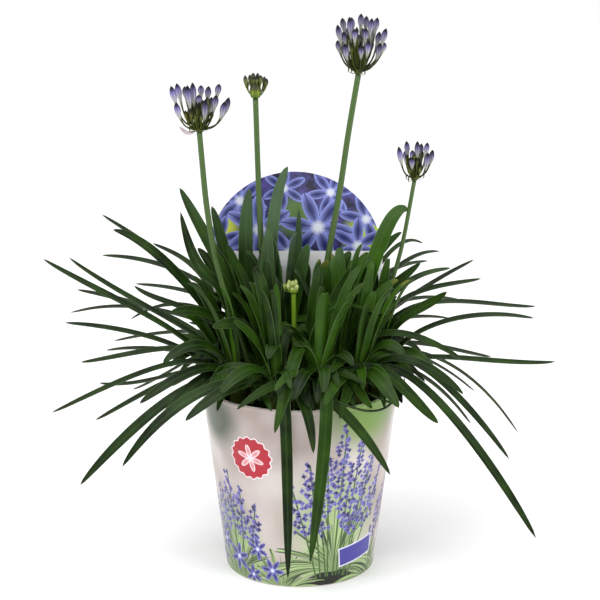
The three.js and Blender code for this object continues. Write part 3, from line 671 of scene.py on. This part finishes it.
def leaf_way(foot, row, bend):
    """The four control points of a leaf. A bend moves it sideways and up by a widening spiral."""
    x, y, z, knee, crest, sway = row[:6]
    crown = Vector((*foot, BLADE_ROOT))
    ahead = Vector((x - foot[0], y - foot[1], 0))
    left = Vector((-ahead.y, ahead.x, 0)).normalized()
    reach = math.sqrt(bend) * min(BEND_MOST, (Vector((x, y, z)) - crown).length / 100)
    aside = BEND_ASIDE * reach * math.cos(BEND_TURN * bend)
    rise = BEND_RISE * reach * math.sin(BEND_TURN * bend)

    def over(share, height, shift):
        point = crown + ahead * share + left * shift
        return Vector((point.x, point.y, height))

    way = [crown + ahead.normalized() * BLADE_APART,
           over(BLADE_FIRST, knee + 0.4 * rise, 0.4 * aside),
           over(BLADE_SECOND, crest + rise, sway + aside),
           over(1, z + 0.7 * rise, 0.9 * aside)]
    return way, left


def leaf_share(along, blunt):
    """How much of its full width a leaf has: four fifths at its foot, and then all of it for the
    longer the blunter it is."""
    if along < BLADE_WIDEST:
        return 0.8 + 0.2 * math.sin(along / BLADE_WIDEST * math.pi / 2)
    return max(0.0, 1 - ((along - BLADE_WIDEST) / (1 - BLADE_WIDEST)) ** blunt) ** 0.6


def new_form(*layers):
    """An empty form whose points carry these numbers, for its material to read."""
    form = bmesh.new()
    for layer in layers:
        form.verts.layers.float.new(layer)
    return form


def add_tube(form, rings, sides, place):
    """Rolls a grid into a tube. place(along, around, vert) gives a point, both from 0 to 1."""
    grid = bmesh.ops.create_grid(form, x_segments=rings, y_segments=sides, size=0.5)
    for vert in grid["verts"]:
        vert.co = place(vert.co.x + 0.5, vert.co.y + 0.5, vert)
    return grid["verts"]


def close_tubes(form):
    """Merges the seams of a form's tubes, fills their open ends and turns their faces outwards. No
    tube has more sides than a sheath."""
    bmesh.ops.remove_doubles(form, verts=form.verts, dist=1e-3)
    bmesh.ops.holes_fill(form, edges=form.edges, sides=SHEATH_SIDES)
    bmesh.ops.recalc_face_normals(form, faces=form.faces)


def add_leaf(form, way, left, width, roll, tone, blunt):
    """One strap leaf: a channel above that is deepest at its foot, and a rounded keel below. Its
    rings crowd together towards the tip, and it rolls over more the further out it is."""
    fine = 4 * BLADE_RINGS
    middles = geometry.interpolate_bezier(*way, fine + 1)
    front = left if left.y < 0 else -left
    along_layer, across_layer, tone_layer = (
        form.verts.layers.float[name] for name in ("along", "across", "tone"))

    def place(along, around, vert):
        at = round((1 - (1 - along) ** 1.3) * fine)
        ahead = (middles[min(at + 1, fine)] - middles[max(at - 1, 0)]).normalized()
        turn = math.radians(roll) * min(1, 0.3 + at / fine)
        over = ahead.cross(left) * math.cos(turn) + front * math.sin(turn)
        across = over.cross(ahead).normalized()
        above = ahead.cross(across)
        side = math.cos(2 * math.pi * around)
        share = leaf_share(at / fine, blunt)
        half = width / 2 * share
        height = half * (BLADE_CHANNEL + 0.35 * (1 - at / fine) ** 4) * side ** 2
        if around > 0.5:
            height -= BLADE_THICK * min(1, 2 * share) * (1 - side ** 2) ** 0.75
        vert[along_layer] = at / fine
        vert[across_layer] = side
        vert[tone_layer] = tone
        return middles[at] + across * side * half + above * height

    add_tube(form, BLADE_RINGS, BLADE_SIDES, place)


# Waxy living leaf: deep green under a thin gloss. Fine veins run its length, the channel and the edges
# carry a pale painted highlight, the foot is yellow-green, and a few of the tips have begun to yellow.
# The tall leaves in the middle of the clump have a grey painted sheen near their tops.
LEAF_PATCHES = 45.0  # to the metre, so that a patch of darker green is about 22 mm long
LEAF_VEINS = 46.0  # radians from the channel to the edge, which makes fifteen veins
VEIN_DEPTH = 0.00012
waxy_leaf, tree, shader = finish("waxy leaf", 0.33, 1.24)
along, across, tone = (
    add_node(tree, "Attribute", [], attribute_name=name).node.outputs["Fac"]
    for name in ("along", "across", "tone"))
dark_green, light_green = (
    add_node(tree, "ValToRGB", [along], stops=[(share, paint(code)) for share, code in stops])
    for stops in (
        [(0, "#5d6c2c"), (0.08, "#223a0e"), (0.25, "#102306"), (1, "#0b1605")],
        [(0, "#98a24e"), (0.1, "#52731f"), (0.35, "#375d10"), (1, "#315010")]))
here = add_node(tree, "TexCoord", []).node.outputs["Object"]
patches = add_node(tree, "TexNoise", {"Vector": here, "Scale": LEAF_PATCHES, "Detail": 2.0})
mood = add_node(tree, "Math", [tone, patches], "ADD")
mood = add_node(tree, "MapRange", [mood, 0.5, 1.5, 0.0, 1.0])
colour = add_node(tree, "Mix", [mood, dark_green, light_green], data_type="RGBA")
# Painted highlight: a paler stripe down the middle of the channel.
channel = add_node(tree, "Math", [across, 0.0, 0.16], "COMPARE")
channel = add_node(tree, "Math", [channel, 0.14], "MULTIPLY")
# Painted highlight: a pale line along each edge of the leaf.
margin = add_node(tree, "Math", [across], "ABSOLUTE")
margin = add_node(tree, "MapRange", [margin, 0.9, 1.0, 0.0, 0.5])
# Painted sheen: a grey-green sheen near the tops of the tall leaves in the middle of the clump.
outward = add_node(tree, "VectorMath", [here, (1, 1, 0)], "MULTIPLY")
outward = add_node(tree, "VectorMath", [outward], "LENGTH")
upward = add_node(tree, "SeparateXYZ", [here]).node.outputs["Z"]
upward = add_node(tree, "Math", [outward, -0.9, upward], "MULTIPLY_ADD")
painted_sheen = add_node(tree, "MapRange", [upward, 0.25, 0.32, 0.0, 0.42])
yellowing = add_node(tree, "Math", [along, tone], "MULTIPLY")
yellowing = add_node(tree, "MapRange", [yellowing, 0.92, 1.0, 0.0, 0.6])
# Painted highlights on the channel and the edges, painted sheen on the tall leaves, and the yellowing
# of old tips.
for share, code in [
        (channel, "#4c6a2c"), (margin, "#7d9a60"), (painted_sheen, "#6a8466"), (yellowing, "#7d7c2c")]:
    colour = add_node(tree, "Mix", [share, colour, paint(code)], data_type="RGBA")
tree.links.new(colour, shader.inputs["Base Color"])
veins = add_node(tree, "Math", [across, LEAF_VEINS], "MULTIPLY")
veins = add_node(tree, "Math", [veins], "SINE")
ridges = add_node(tree, "Bump", {"Strength": 0.35, "Distance": VEIN_DEPTH, "Height": veins})
tree.links.new(ridges, shader.inputs["Normal"])

# Besides the leaves of the table, each shoot has young upright ones in the heart of the clump and
# short ones that arch out to the rim of the pot. All keep clear of the card and of the short stalk.
HEART_LEAVES = 8
HEART_SPREAD = (12, 50)  # how far from its shoot a leaf of the heart ends
HEART_LEAN = 0.75  # it leans outwards by this share of the shoot's place to the side
HEART_HEIGHTS = (244, 334, 318)  # the least, the most and the likeliest
HEART_FALL = (0.22, 0.27)  # and how steeply they fall to both sides, and to the back
HEART_WIDTHS = (9, 13)
HEART_REACH = 120  # no leaf of the heart ends further out than this
HEART_TOP = 340  # or stands higher than this,
HEART_FRONT = -50  # and one that ends in front of this
FRONT_TOP = 292  # stands no higher than this, because the clump is lower there
RIM_LEAVES = 8
RIM_FAN = 1.9  # radians, over which those of one shoot are spread
RIM_HEIGHTS = (176, 206)
RIM_WIDTHS = (8, 12)
OUTER_SHOOT = 50  # a shoot further out than this is an outer one
OUTER_REACHES = (96, 124)
INNER_REACHES = (74, 100)
SHORT_BLUNTNESS = (1.6, 3.2)
MOST_ROLL = 45  # degrees
CARD_GAP = (34, 54)  # the card stands between these, and a leaf doesn't cross them
STALK_GAP = Vector((-6, -25, 244))  # a leaf in front of the short stalk stays below its head
STALK_GAP_HALF = 14  # and it is in front of it within this much to each side

# Two thin old leaves that have withered and lie along the rim: the shoot's number, then the rest of
# the control points.
WITHERED_WIDTH = 3
WITHERED = {
    3: [(20, -110, 215), (70, -125, 165), (92, -45, 186)],
    4: [(60, -96, 212), (96, -84, 160), (98, -12, 190)]}

# The shoots whose leaves are a lighter green than those of the others, and by how much.
YOUNG_SHOOTS = (4, 14, 15)
YOUNG_PALER = 0.3

# A leaf is the older and darker the further out its tip is, up to this.
OLD_REACH = 200

# A leaf whose tip hangs below this is blunter than the others.
HANGING = 60
HANGING_BLUNT = 6

growth = random.Random(13)
for number, (foot, rows) in enumerate(SHOOTS, 1):
    node = f"fan_{number:02d}"
    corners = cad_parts[node].data.vertices
    finder = kdtree.KDTree(len(corners))
    for index, corner in enumerate(corners):
        finder.insert(corner.co / MILLIMETRE, index)
    finder.balance()
    shoot_form = new_form("along", "across", "tone")

    def sheath_point(along, around, vert):
        """The sheath narrows above six tenths of its height, and has five soft ribs."""
        angle = 2 * math.pi * around
        radius = SHEATH_RADIUS * (1 if along < 0.6 else 1 - 0.5 * ((along - 0.6) / 0.4) ** 1.5)
        radius *= 1 + 0.05 * math.cos(5 * angle + number)
        x, y = on_circle(radius, angle)
        height = SOIL_LEVEL - SHEATH_DEPTH + (SHEATH_HEIGHT + SHEATH_DEPTH) * along
        return Vector((foot[0] + x, foot[1] + y, height))

    add_tube(shoot_form, SHEATH_RINGS, SHEATH_SIDES, sheath_point)
    paler = YOUNG_PALER if number in YOUNG_SHOOTS else 0.0
    for row in rows:
        ways = (leaf_way(foot, row, bend) for bend in range(BENDS))
        found = next((way for way in ways if finder.find(way[0][3])[2] < SAME), None)
        if found is None:
            raise ValueError(f"no way found for a leaf of {node}: {row}")
        age = min(1, math.hypot(row[0], row[1]) / OLD_REACH)
        tone = growth.uniform(0.15, 0.95) * (1 - 0.8 * age) + paler * (1 - age)
        blunt = HANGING_BLUNT if row[2] < HANGING else BLADE_BLUNT
        add_leaf(shoot_form, *found, row[6], row[7], tone, blunt)
    for index in range(HEART_LEAVES + RIM_LEAVES):
        at_heart = index < HEART_LEAVES
        if at_heart:
            heading = growth.uniform(0, 2 * math.pi if foot[1] < CARD_GAP[0] else math.pi)
            reach = growth.uniform(*HEART_SPREAD)
            tip = Vector(foot) + reach * Vector((math.cos(heading), math.sin(heading)))
            tip.x += HEART_LEAN * foot[0]
            height = growth.triangular(*HEART_HEIGHTS) - HEART_FALL[1] * tip.y
            height -= HEART_FALL[0] * abs(tip.x)
            height = min(height, FRONT_TOP if tip.y < HEART_FRONT else HEART_TOP)
            width = growth.uniform(*HEART_WIDTHS)
        else:
            heading = RIM_FAN * ((index - HEART_LEAVES + growth.random()) / RIM_LEAVES - 0.5)
            heading += math.atan2(foot[1], foot[0])
            reaches = OUTER_REACHES if math.hypot(*foot) > OUTER_SHOOT else INNER_REACHES
            tip = growth.uniform(*reaches) * Vector((math.cos(heading), math.sin(heading)))
            height = growth.uniform(*RIM_HEIGHTS)
            width = growth.uniform(*RIM_WIDTHS)
        crosses = tip.y > CARD_GAP[0] if foot[1] < CARD_GAP[0] else tip.y < CARD_GAP[1]
        if crosses or (at_heart and tip.length > HEART_REACH):
            continue
        if (min(foot[1], tip.y) < STALK_GAP.y and min(foot[0], tip.x) < STALK_GAP.x + STALK_GAP_HALF
                and max(foot[0], tip.x) > STALK_GAP.x - STALK_GAP_HALF):
            height = min(height, STALK_GAP.z)
        knee, crest = (228, height - 4) if at_heart else (216, height + 22)
        row = (*tip, height, knee, crest, 0, width, growth.uniform(0, MOST_ROLL))
        tone = (0.9 if at_heart else 0.65) * growth.random() + paler
        blunt = growth.uniform(*SHORT_BLUNTNESS)
        add_leaf(shoot_form, *leaf_way(foot, row, 0), *row[6:], tone, blunt)
    if number in WITHERED:
        way = [Vector((*foot, BLADE_ROOT)), *map(Vector, WITHERED[number])]
        add_leaf(shoot_form, way, Vector((0, 1, 0)), WITHERED_WIDTH, 0, 0.0, BLADE_BLUNT)
    close_tubes(shoot_form)
    stand(f"leaves_{number:02d}", shoot_form, [waxy_leaf], "leaf", node)

# ---- Flower stalks ----
# Four tall bare stalks and a short young one. Each is smooth, solid and nearly round, and stands in
# its own hole in the soil.

# Each stalk's radius at its foot, and the points that it passes on its way up.
STALKS = [
    (3, [(-33, -40, 165), (-46, -39, 205), (-65, -36, 263), (-77, -33, 307),
        (-85, -31, 356), (-89, -30, 400), (-91, -30, 426)]),
    (3, [(-30, 10, 165), (-35, 10, 281), (-38, 10, 350), (-41, 10, 451)]),
    (3.1, [(4, -10, 165), (14, -10, 235), (26, -10, 305), (37, -10, 370),
        (44, -10, 420), (53, -10, 476)]),
    (2.3, [(50, 8, 165), (67, 13, 214), (85, 17, 268), (96, 19, 308), (107, 20, 371)]),
    (2.6, [(-4, -42, 165), (-5, -38, 225), (-6, -35, 277)]),
]

STALK_DEPTH = 12  # how far down into the soil it is modelled
STALK_TAPER = 0.15
STALK_RINGS = 40
STALK_SIDES = 14


def way_through(points):
    """A centripetal Catmull-Rom curve through points, as a function of the share along it."""
    ends = [2 * points[0] - points[1], *points, 2 * points[-1] - points[-2]]

    def at(share):
        place = share * (len(points) - 1)
        i = min(int(place), len(points) - 2)
        w = place - i
        p0, p1, p2, p3 = ends[i:i + 4]
        d0, d1, d2 = (math.sqrt((b - a).length) for a, b in ((p0, p1), (p1, p2), (p2, p3)))
        leave = ((p1 - p0) / d0 - (p2 - p0) / (d0 + d1) + (p2 - p1) / d1) * d1
        arrive = ((p2 - p1) / d1 - (p3 - p1) / (d1 + d2) + (p3 - p2) / d2) * d1
        return (p1 + leave * w + (3 * (p2 - p1) - 2 * leave - arrive) * w ** 2
                + (2 * (p1 - p2) + leave + arrive) * w ** 3)

    return at


def add_rod(form, at, rings, sides, radius, flutes=0.0, tone=0.5):
    """A round stem or bud along a curve. radius(along) gives its radius, and flutes its six ribs."""
    step = 0.5 / rings
    ripe_layer, rib_layer, tone_layer = (
        form.verts.layers.float[name] for name in ("ripe", "rib", "tone"))

    def place(along, around, vert):
        ahead = (at(min(1, along + step)) - at(max(0, along - step))).normalized()
        right = (Vector((1, 0, 0)) - ahead * ahead.x).normalized()
        back = ahead.cross(right)
        angle = 2 * math.pi * around
        rib = math.cos(6 * angle)
        out = radius(along) * (1 + flutes * rib)
        vert[ripe_layer] = along
        vert[rib_layer] = 0.5 + 0.5 * rib
        vert[tone_layer] = tone
        return at(along) + right * out * math.cos(angle) + back * out * math.sin(angle)

    return add_tube(form, rings, sides, place)


# Living stem: smooth, with a soft waxy sheen, olive green at the foot and bluer towards the neck.
# Pale painted highlights lie in streaks along its upper part, and the youngest is still lime green.
green_stem, tree, shader = finish("waxy flower stem", 0.3, 1.36)
height, ridge, young = (
    add_node(tree, "Attribute", [], attribute_name=name).node.outputs["Fac"]
    for name in ("ripe", "rib", "tone"))
green = add_node(tree, "ValToRGB", [height], stops=[(0, paint("#304409")), (1, paint("#3a571c"))])
# Painted highlight: pale streaks along the ribs, stronger towards the top.
painted_sheen = add_node(tree, "Math", [ridge, height], "MULTIPLY")
painted_sheen = add_node(tree, "Math", [painted_sheen, 0.2], "MULTIPLY")
green = add_node(tree, "Mix", [painted_sheen, green, paint("#8a9c7c")], data_type="RGBA")
colour = add_node(tree, "Mix", [young, green, paint("#66881a")], data_type="RGBA")
tree.links.new(colour, shader.inputs["Base Color"])

for number, (radius, way) in enumerate(STALKS, 1):
    stalk_form = new_form("ripe", "rib", "tone")
    stalk_at = way_through([Vector((*way[0][:2], SOIL_LEVEL - STALK_DEPTH)), *map(Vector, way)])
    add_rod(stalk_form, stalk_at, STALK_RINGS, STALK_SIDES,
            lambda along: radius * (1 - STALK_TAPER * along), tone=float(number == len(STALKS)))
    close_tubes(stalk_form)
    stand(f"stem_{number:02d}", stalk_form, [green_stem], "stalk", f"stalk_{number:02d}")

# ---- Flower heads ----
# An umbel of slender pedicels that rise from a small cup, each with one bud. The open heads hold
# blue buds round younger olive ones, and the young heads are still tight and green.

# How thick each head's buds are, its cup's radius and height, its kind, and its buds: where the
# middle of each is from the top of the stalk, and its length.
HEADS = [
    (6, (3.6, 5), "blue", [
        (-23, -4, 36, 15), (-19, 7, 37, 14), (-19, -10, 23, 13), (-13, 14, 35, 10), (-9, -9, 36, 18),
        (-5, -4, 38, 17), (1, 17, 36, 9), (6, -14, 25, 17), (8, 6, 36, 11), (17, 10, 38, 10),
        (15, -8, 30, 12), (22, -6, 23, 14), (25, 3, 25, 14), (-4, 8, 26, 8), (0, -2, 31, 8),
        (10, 15, 24, 12), (-10, 18, 25, 11)]),
    (4, (5.4, 14), "green", [
        (-9, -2, 17, 9), (-5, 5, 17, 8), (-2, 0, 20, 7), (2, 5, 19, 7), (5, -2, 18, 7),
        (8, 3, 16, 7), (10, -2, 15, 7), (-8, 6, 12, 7), (8, 0, 10, 5), (4, 8, 14, 6),
        (-3, 9, 13, 6)]),
    (5.6, (4, 6), "blue", [
        (-18, -6, 39, 14), (-14, 6, 45, 11), (-8, -6, 45, 16), (2, 4, 49, 11), (11, -4, 45, 13),
        (16, 5, 45, 12), (23, -3, 36, 13), (-12, -15, 24, 13), (-18, 8, 25, 10), (8, -16, 27, 12),
        (18, -10, 24, 13), (23, 8, 24, 8), (-4, -12, 38, 10), (6, -10, 38, 11), (-1, -4, 33, 9),
        (-9, 14, 36, 11), (13, 13, 36, 11), (2, -17, 24, 9), (-3, 18, 26, 10), (-13, -3, 34, 11),
        (18, 3, 33, 11), (-6, 10, 45, 11), (7, 12, 46, 11), (4, 20, 34, 11), (-15, 14, 24, 9),
        (12, 19, 24, 10)]),
    (5.2, (3, 5), "blue", [
        (-14, -3, 26, 15), (-7, 5, 31, 12), (-3, -9, 20, 9), (2, -5, 32, 14), (6, 4, 29, 12),
        (11, -2, 32, 10), (11, -8, 22, 14), (16, 4, 23, 12), (-8, 10, 22, 10), (3, 12, 24, 10),
        (-2, 2, 25, 8)]),
    (3.6, (4.4, 7), "lime", [
        (-8, -1, 7, 6), (-5, -4, 8, 6), (-4, 3, 9, 6), (-1, -3, 10, 6), (2, 1, 10, 6), (3, -4, 7, 6),
        (0, 5, 8, 5)]),
]

PEDICEL_RADIUS = 0.8
PEDICEL_SHARE = 0.38  # the share of a bud's whole way that is its bare pedicel
NECK_GAP = 0.6
NECK_RADIUS = 2.4
CUP_RINGS = 14
CUP_SIDES = 18
BUD_RINGS = 24
BUD_SIDES = 12
BUD_FLUTES = 0.06
YOUNG_BUDS = 26
YOUNG_SPREAD = 0.5  # they fill this share of the head's width
YOUNG_THICK = 0.6  # and this share of the others' thickness
SCRAPS = 4  # thin pedicels low down in an open head, whose buds have dropped
SCRAP_REACH = 9
SCRAP_HEIGHTS = (3, 7)
SCRAP_LENGTH = 5
SCRAP_THICK = 1.2
GOLDEN_TURN = math.pi * (3 - math.sqrt(5))
BRIGHTEST = {3: 0.6}  # the third head's buds are duller than those of the others


def bud_radius(along, thick):
    """A thin pedicel, then a club that is fullest past its own middle and blunt at its tip."""
    pedicel = min(PEDICEL_RADIUS, 0.16 * thick)
    if along < PEDICEL_SHARE:
        return pedicel * (1 - 0.3 * along)
    swell = (along - PEDICEL_SHARE) / (1 - PEDICEL_SHARE)
    club = math.sin(math.pi * swell ** 1.4) ** 0.75
    return pedicel * 0.8 * (1 - swell) + 0.42 * thick * club


def add_bud(form, neck, row, thick, finish_index, tone):
    """One bud on its pedicel: it leaves the neck outwards, turns up and swells."""
    x, y, z, length = row
    lean = Vector((0.3 * x, 0.3 * y, 26)).normalized()
    middle = neck + Vector((x, y, z))
    low = middle - lean * length / 2
    start = neck + Vector((x, y, z)).normalized() * 1.6
    start.z = neck.z + 2
    elbow = neck + Vector((0.62 * x, 0.62 * y, 0.4 * (low.z - neck.z)))
    at = way_through([start, elbow, low, middle, middle + lean * length / 2])
    verts = add_rod(form, at, BUD_RINGS, BUD_SIDES,
                    lambda along: bud_radius(min(along, 0.999), thick), flutes=BUD_FLUTES, tone=tone)
    set_finish(verts, finish_index)


# Closed petals: matt and ribbed, with painted shade in the grooves. Each kind goes from its pedicel's
# foot to its tip through the dull colours of one bud to the bright ones of the next. The blue buds are
# grey-white at their foot, lavender, then violet-black. The olive and green ones have dusky tips.
petals = {}
for kind, dull, bright in [
        ("blue bud petal",
         [(0, "#2b340c"), (0.4, "#323c14"), (0.48, "#a2a496"), (0.62, "#9894a6"), (0.81, "#4c4866"),
          (0.92, "#050407")],
         [(0, "#38440e"), (0.4, "#48541a"), (0.48, "#d4d4c8"), (0.6, "#d0cce0"), (0.79, "#8c85c4"),
          (0.88, "#3e3a64"), (0.94, "#050407")]),
        ("olive bud petal",
         [(0, "#2f380c"), (0.45, "#404a12"), (0.6, "#444818"), (0.8, "#1c180e"), (1, "#060505")],
         [(0, "#4a5a10"), (0.45, "#66741c"), (0.65, "#848840"), (0.88, "#3a3624"), (1, "#100e10")]),
        ("green bud petal",
         [(0, "#3f4e12"), (0.45, "#4a5816"), (0.65, "#565e34"), (0.84, "#2c2e22"), (0.93, "#060607")],
         [(0, "#54641a"), (0.45, "#64741e"), (0.65, "#848e52"), (0.86, "#484c3a"), (0.94, "#0c0b0e")]),
        ("lime bud petal",
         [(0, "#6a8c1c"), (0.5, "#8aa838"), (0.8, "#aec064"), (1, "#6a7a34")],
         [(0, "#7a9a22"), (0.5, "#a8c24e"), (0.8, "#d6e09a"), (1, "#aab65e")]),
        ("spathe",
         [(0, "#5a7420"), (0.35, "#758c2c"), (0.6, "#4e5230"), (1, "#2a2920")],
         [(0, "#5a7420"), (0.35, "#8da034"), (0.6, "#5b6038"), (1, "#302f24")])]:
    petal, tree, shader = finish(kind, 0.5, 1.25)
    ripe, rib, tone = (
        add_node(tree, "Attribute", [], attribute_name=name).node.outputs["Fac"]
        for name in ("ripe", "rib", "tone"))
    shades = [
        add_node(tree, "ValToRGB", [ripe], stops=[(share, paint(code)) for share, code in stops])
        for stops in (dull, bright)]
    colour = add_node(tree, "Mix", [tone, *shades], data_type="RGBA")
    # Painted shade: the grooves between the ribs are darkened.
    painted_groove_shade = add_node(tree, "Math", [rib, -0.6, 0.6], "MULTIPLY_ADD")
    colour = add_node(tree, "Mix", [painted_groove_shade, colour, paint("#0e0c14")], data_type="RGBA")
    tree.links.new(colour, shader.inputs["Base Color"])
    petals[kind.split()[0]] = petal

opening = random.Random(23)
for number, (thick, cup, kind, buds) in enumerate(HEADS, 1):
    neck = Vector(STALKS[number - 1][1][-1])
    is_open = kind == "blue"
    brightest = BRIGHTEST.get(number, 1)
    tall = max(row[2] for row in buds)
    wide = max(abs(row[0]) for row in buds)
    head_form = new_form("ripe", "rib", "tone")
    cup_radius, cup_height = cup
    cup_at = way_through([neck + Vector((0, 0, NECK_GAP)), neck + Vector((0, 0, cup_height))])
    cup_verts = add_rod(
        head_form, cup_at, CUP_RINGS, CUP_SIDES, lambda along: (
            NECK_RADIUS + (cup_radius - NECK_RADIUS) * math.sin(math.pi * (0.2 + 0.75 * along))))
    set_finish(cup_verts, 2)
    for row in buds:
        add_bud(head_form, neck, row, thick, 0, brightest * opening.random())
    for index in range(YOUNG_BUDS if is_open else YOUNG_BUDS // 2):
        out = YOUNG_SPREAD * wide * math.sqrt((index + 0.5) / YOUNG_BUDS)
        angle = index * GOLDEN_TURN
        rise = tall * (0.34 + 0.45 * opening.random()) if is_open else 0.9 * tall - 0.3 * out
        place = (*on_circle(out, angle), rise, opening.uniform(6, 10) * thick / 6)
        add_bud(head_form, neck, place, YOUNG_THICK * thick, 1, opening.random())
    for index in range(SCRAPS if is_open else 0):
        angle = index * GOLDEN_TURN + number
        place = (*on_circle(SCRAP_REACH, angle), opening.uniform(*SCRAP_HEIGHTS), SCRAP_LENGTH)
        add_bud(head_form, neck, place, SCRAP_THICK, 1, 0.5)
    close_tubes(head_form)
    finishes = {"blue": [petals["blue"], petals["olive"], petals["olive"]],
                "green": [petals["green"], petals["green"], petals["spathe"]],
                "lime": [petals["lime"]] * 3}[kind]
    stand(f"head_{number:02d}", head_form, finishes, "bud" if is_open else "young_bud",
          f"umbel_{number:02d}")

# ---- Bract ----
# The dry papery bract that is left under the first head when it opens. It is thin, creased and
# pinkish, and hangs by its foot from the side of the head's cup.

BRACT_REACH = (-18, -5, 6)
BRACT_CREST = (-12, -4, -3)
BRACT_WIDTH = 8
BRACT_THICK = 0.5
BRACT_RINGS = 16
BRACT_SIDES = 12
BRACT_VEINS = 900.0  # to the metre, so about one to the millimetre

# Dry bract: as matt and thin as tissue, pink-white with duller veins.
dry_bract, tree, shader = finish("dry papery bract", 0.8, 1.4)
here = add_node(tree, "TexCoord", []).node.outputs["Object"]
veins = add_node(tree, "TexNoise", {"Vector": here, "Scale": BRACT_VEINS, "Detail": 2.0})
colour = add_node(tree, "Mix", [veins, paint("#b79fa4"), paint("#efe4e6")], data_type="RGBA")
tree.links.new(colour, shader.inputs["Base Color"])

neck = Vector(STALKS[0][1][-1])
start = neck + Vector((-HEADS[0][1][0] - 0.5, -1, 1))
way = geometry.interpolate_bezier(
    start, start.lerp(neck + Vector(BRACT_CREST), 2 / 3),
    (neck + Vector(BRACT_REACH)).lerp(neck + Vector(BRACT_CREST), 2 / 3),
    neck + Vector(BRACT_REACH), BRACT_RINGS + 1)
bract_form = bmesh.new()


def bract_point(along, around, vert):
    """The bract is narrow at its foot, widest past its middle and pointed, with creases along it."""
    side = math.cos(2 * math.pi * around)
    share = (0.35 + 1.3 * along) * (1 - along ** 3) if along < 1 else 0
    half = BRACT_WIDTH / 2 * min(1, share)
    crease = 0.7 * side ** 2 + 0.25 * math.sin(7 * side + 9 * along) + 0.3 * side * half
    thin = BRACT_THICK * (1 - side ** 2) ** 0.5 if around > 0.5 else 0
    return way[round(along * BRACT_RINGS)] + Vector((0, side * half, crease - thin))


add_tube(bract_form, BRACT_RINGS, BRACT_SIDES, bract_point)
close_tubes(bract_form)
stand("papery_bract", bract_form, [dry_bract], "bract", "bract")

# ---- Picture card ----
# A round card of printed polystyrene on a stake of the same sheet, cut out in one piece and pushed
# into the soil. Its face shows large open flowers, and the foot of the disc is left white.

CARD_RADIUS = 84
CARD_CENTRE = Vector((-5, 44, 291))
CARD_THICK = 1
CARD_TAIL = 26  # the stake's width under the disc
CARD_POINT = 14  # and where its point begins
CARD_POINT_LENGTH = 12
CARD_DEPTH = 70  # how deep it is pushed into the soil
CARD_TURNS = 160
CARD_FOOT = 7  # the print stops this far above the middle of the disc
CARD_STREAKS = 0.09  # to the millimetre, so that a streak is about 11 mm wide

# The flowers' centres, to the right of the middle of the disc and above it, their radii and turns.
CARD_FLOWERS = [
    (-52, 56, 27, 0.3), (34, 64, 24, 0.9), (-10, 68, 22, 0.6), (68, 38, 26, 0.2), (-72, 18, 24, 0.8),
    (-34, 28, 34, 0.5), (22, 30, 36, 0.15), (60, 12, 28, 0.55), (-6, 6, 24, 0.0)]

# Printed polystyrene: flat and semi-gloss.
card_print, tree, shader = finish("printed polystyrene", 0.35, 1.55)
here = add_node(tree, "TexCoord", []).node.outputs["Object"]
point = add_node(tree, "VectorMath", [here, (1 / MILLIMETRE,) * 3], "MULTIPLY")
point = add_node(tree, "VectorMath", [point, CARD_CENTRE], "SUBTRACT")
parts = add_node(tree, "SeparateXYZ", [point]).node.outputs
point = add_node(tree, "CombineXYZ", [parts["X"], parts["Z"], 0.0])
rising = parts["Z"]
streaks = add_node(tree, "TexNoise", {"Vector": point, "Scale": CARD_STREAKS, "Detail": 2.0})
colour = add_node(tree, "ValToRGB", [streaks], stops=[
    (0.38, paint("#120f30")), (0.66, paint("#4c4592"))])
colour = add_patches(tree, point, colour, [
    ((-74, 30, 0), 26, 0.4, "#c9d64a"), ((70, 22, 0), 30, 0.4, "#b4c93c"),
    ((0, 40, 0), 26, 0.4, "#5a7a3a")])
for x, y, size, twist in CARD_FLOWERS:
    colour = add_node(tree, "Group", [
        point, (x, y, 0), size, twist, paint("#161d62"), paint("#929ce8"), colour],
        node_tree=open_flower)
blank = add_node(tree, "Math", [rising, CARD_FOOT], "LESS_THAN")
colour = add_node(tree, "Mix", [blank, colour, paint("#f2f2f4")], data_type="RGBA")
tree.links.new(colour, shader.inputs["Base Color"])

# The same sheet where it isn't printed: plain white at its back.
plain_sheet, _, _ = finish("white polystyrene", 0.35, 1.55, "#f2f2f4")

card_form = bmesh.new()
shoulder = math.asin(CARD_TAIL / 2 / CARD_RADIUS)
stake_foot = SOIL_LEVEL - CARD_DEPTH - CARD_CENTRE.z
point_top = stake_foot + CARD_POINT_LENGTH
outline = [(-CARD_POINT / 2, point_top), (0, stake_foot), (CARD_POINT / 2, point_top),
           (CARD_TAIL / 2, -CARD_RADIUS)]
for step in range(CARD_TURNS + 1):
    angle = -math.pi / 2 + shoulder + (2 * math.pi - 2 * shoulder) * step / CARD_TURNS
    outline.append(on_circle(CARD_RADIUS, angle))
outline.append((-CARD_TAIL / 2, -CARD_RADIUS))
verts = [card_form.verts.new(CARD_CENTRE + Vector((x, -CARD_THICK / 2, z))) for x, z in outline]
face = card_form.faces.new(verts)
raised = bmesh.ops.extrude_face_region(card_form, geom=[face])
bmesh.ops.translate(card_form, vec=(0, CARD_THICK, 0),
                    verts=[item for item in raised["geom"] if isinstance(item, bmesh.types.BMVert)])
bmesh.ops.remove_doubles(card_form, verts=card_form.verts, dist=1e-3)
bmesh.ops.recalc_face_normals(card_form, faces=card_form.faces)
for face in card_form.faces:
    face.material_index = int(face.normal.y > 0.5)
card = stand("picture_card", card_form, [card_print, plain_sheet], "card", "label")
for face in card.data.polygons:
    face.use_smooth = False
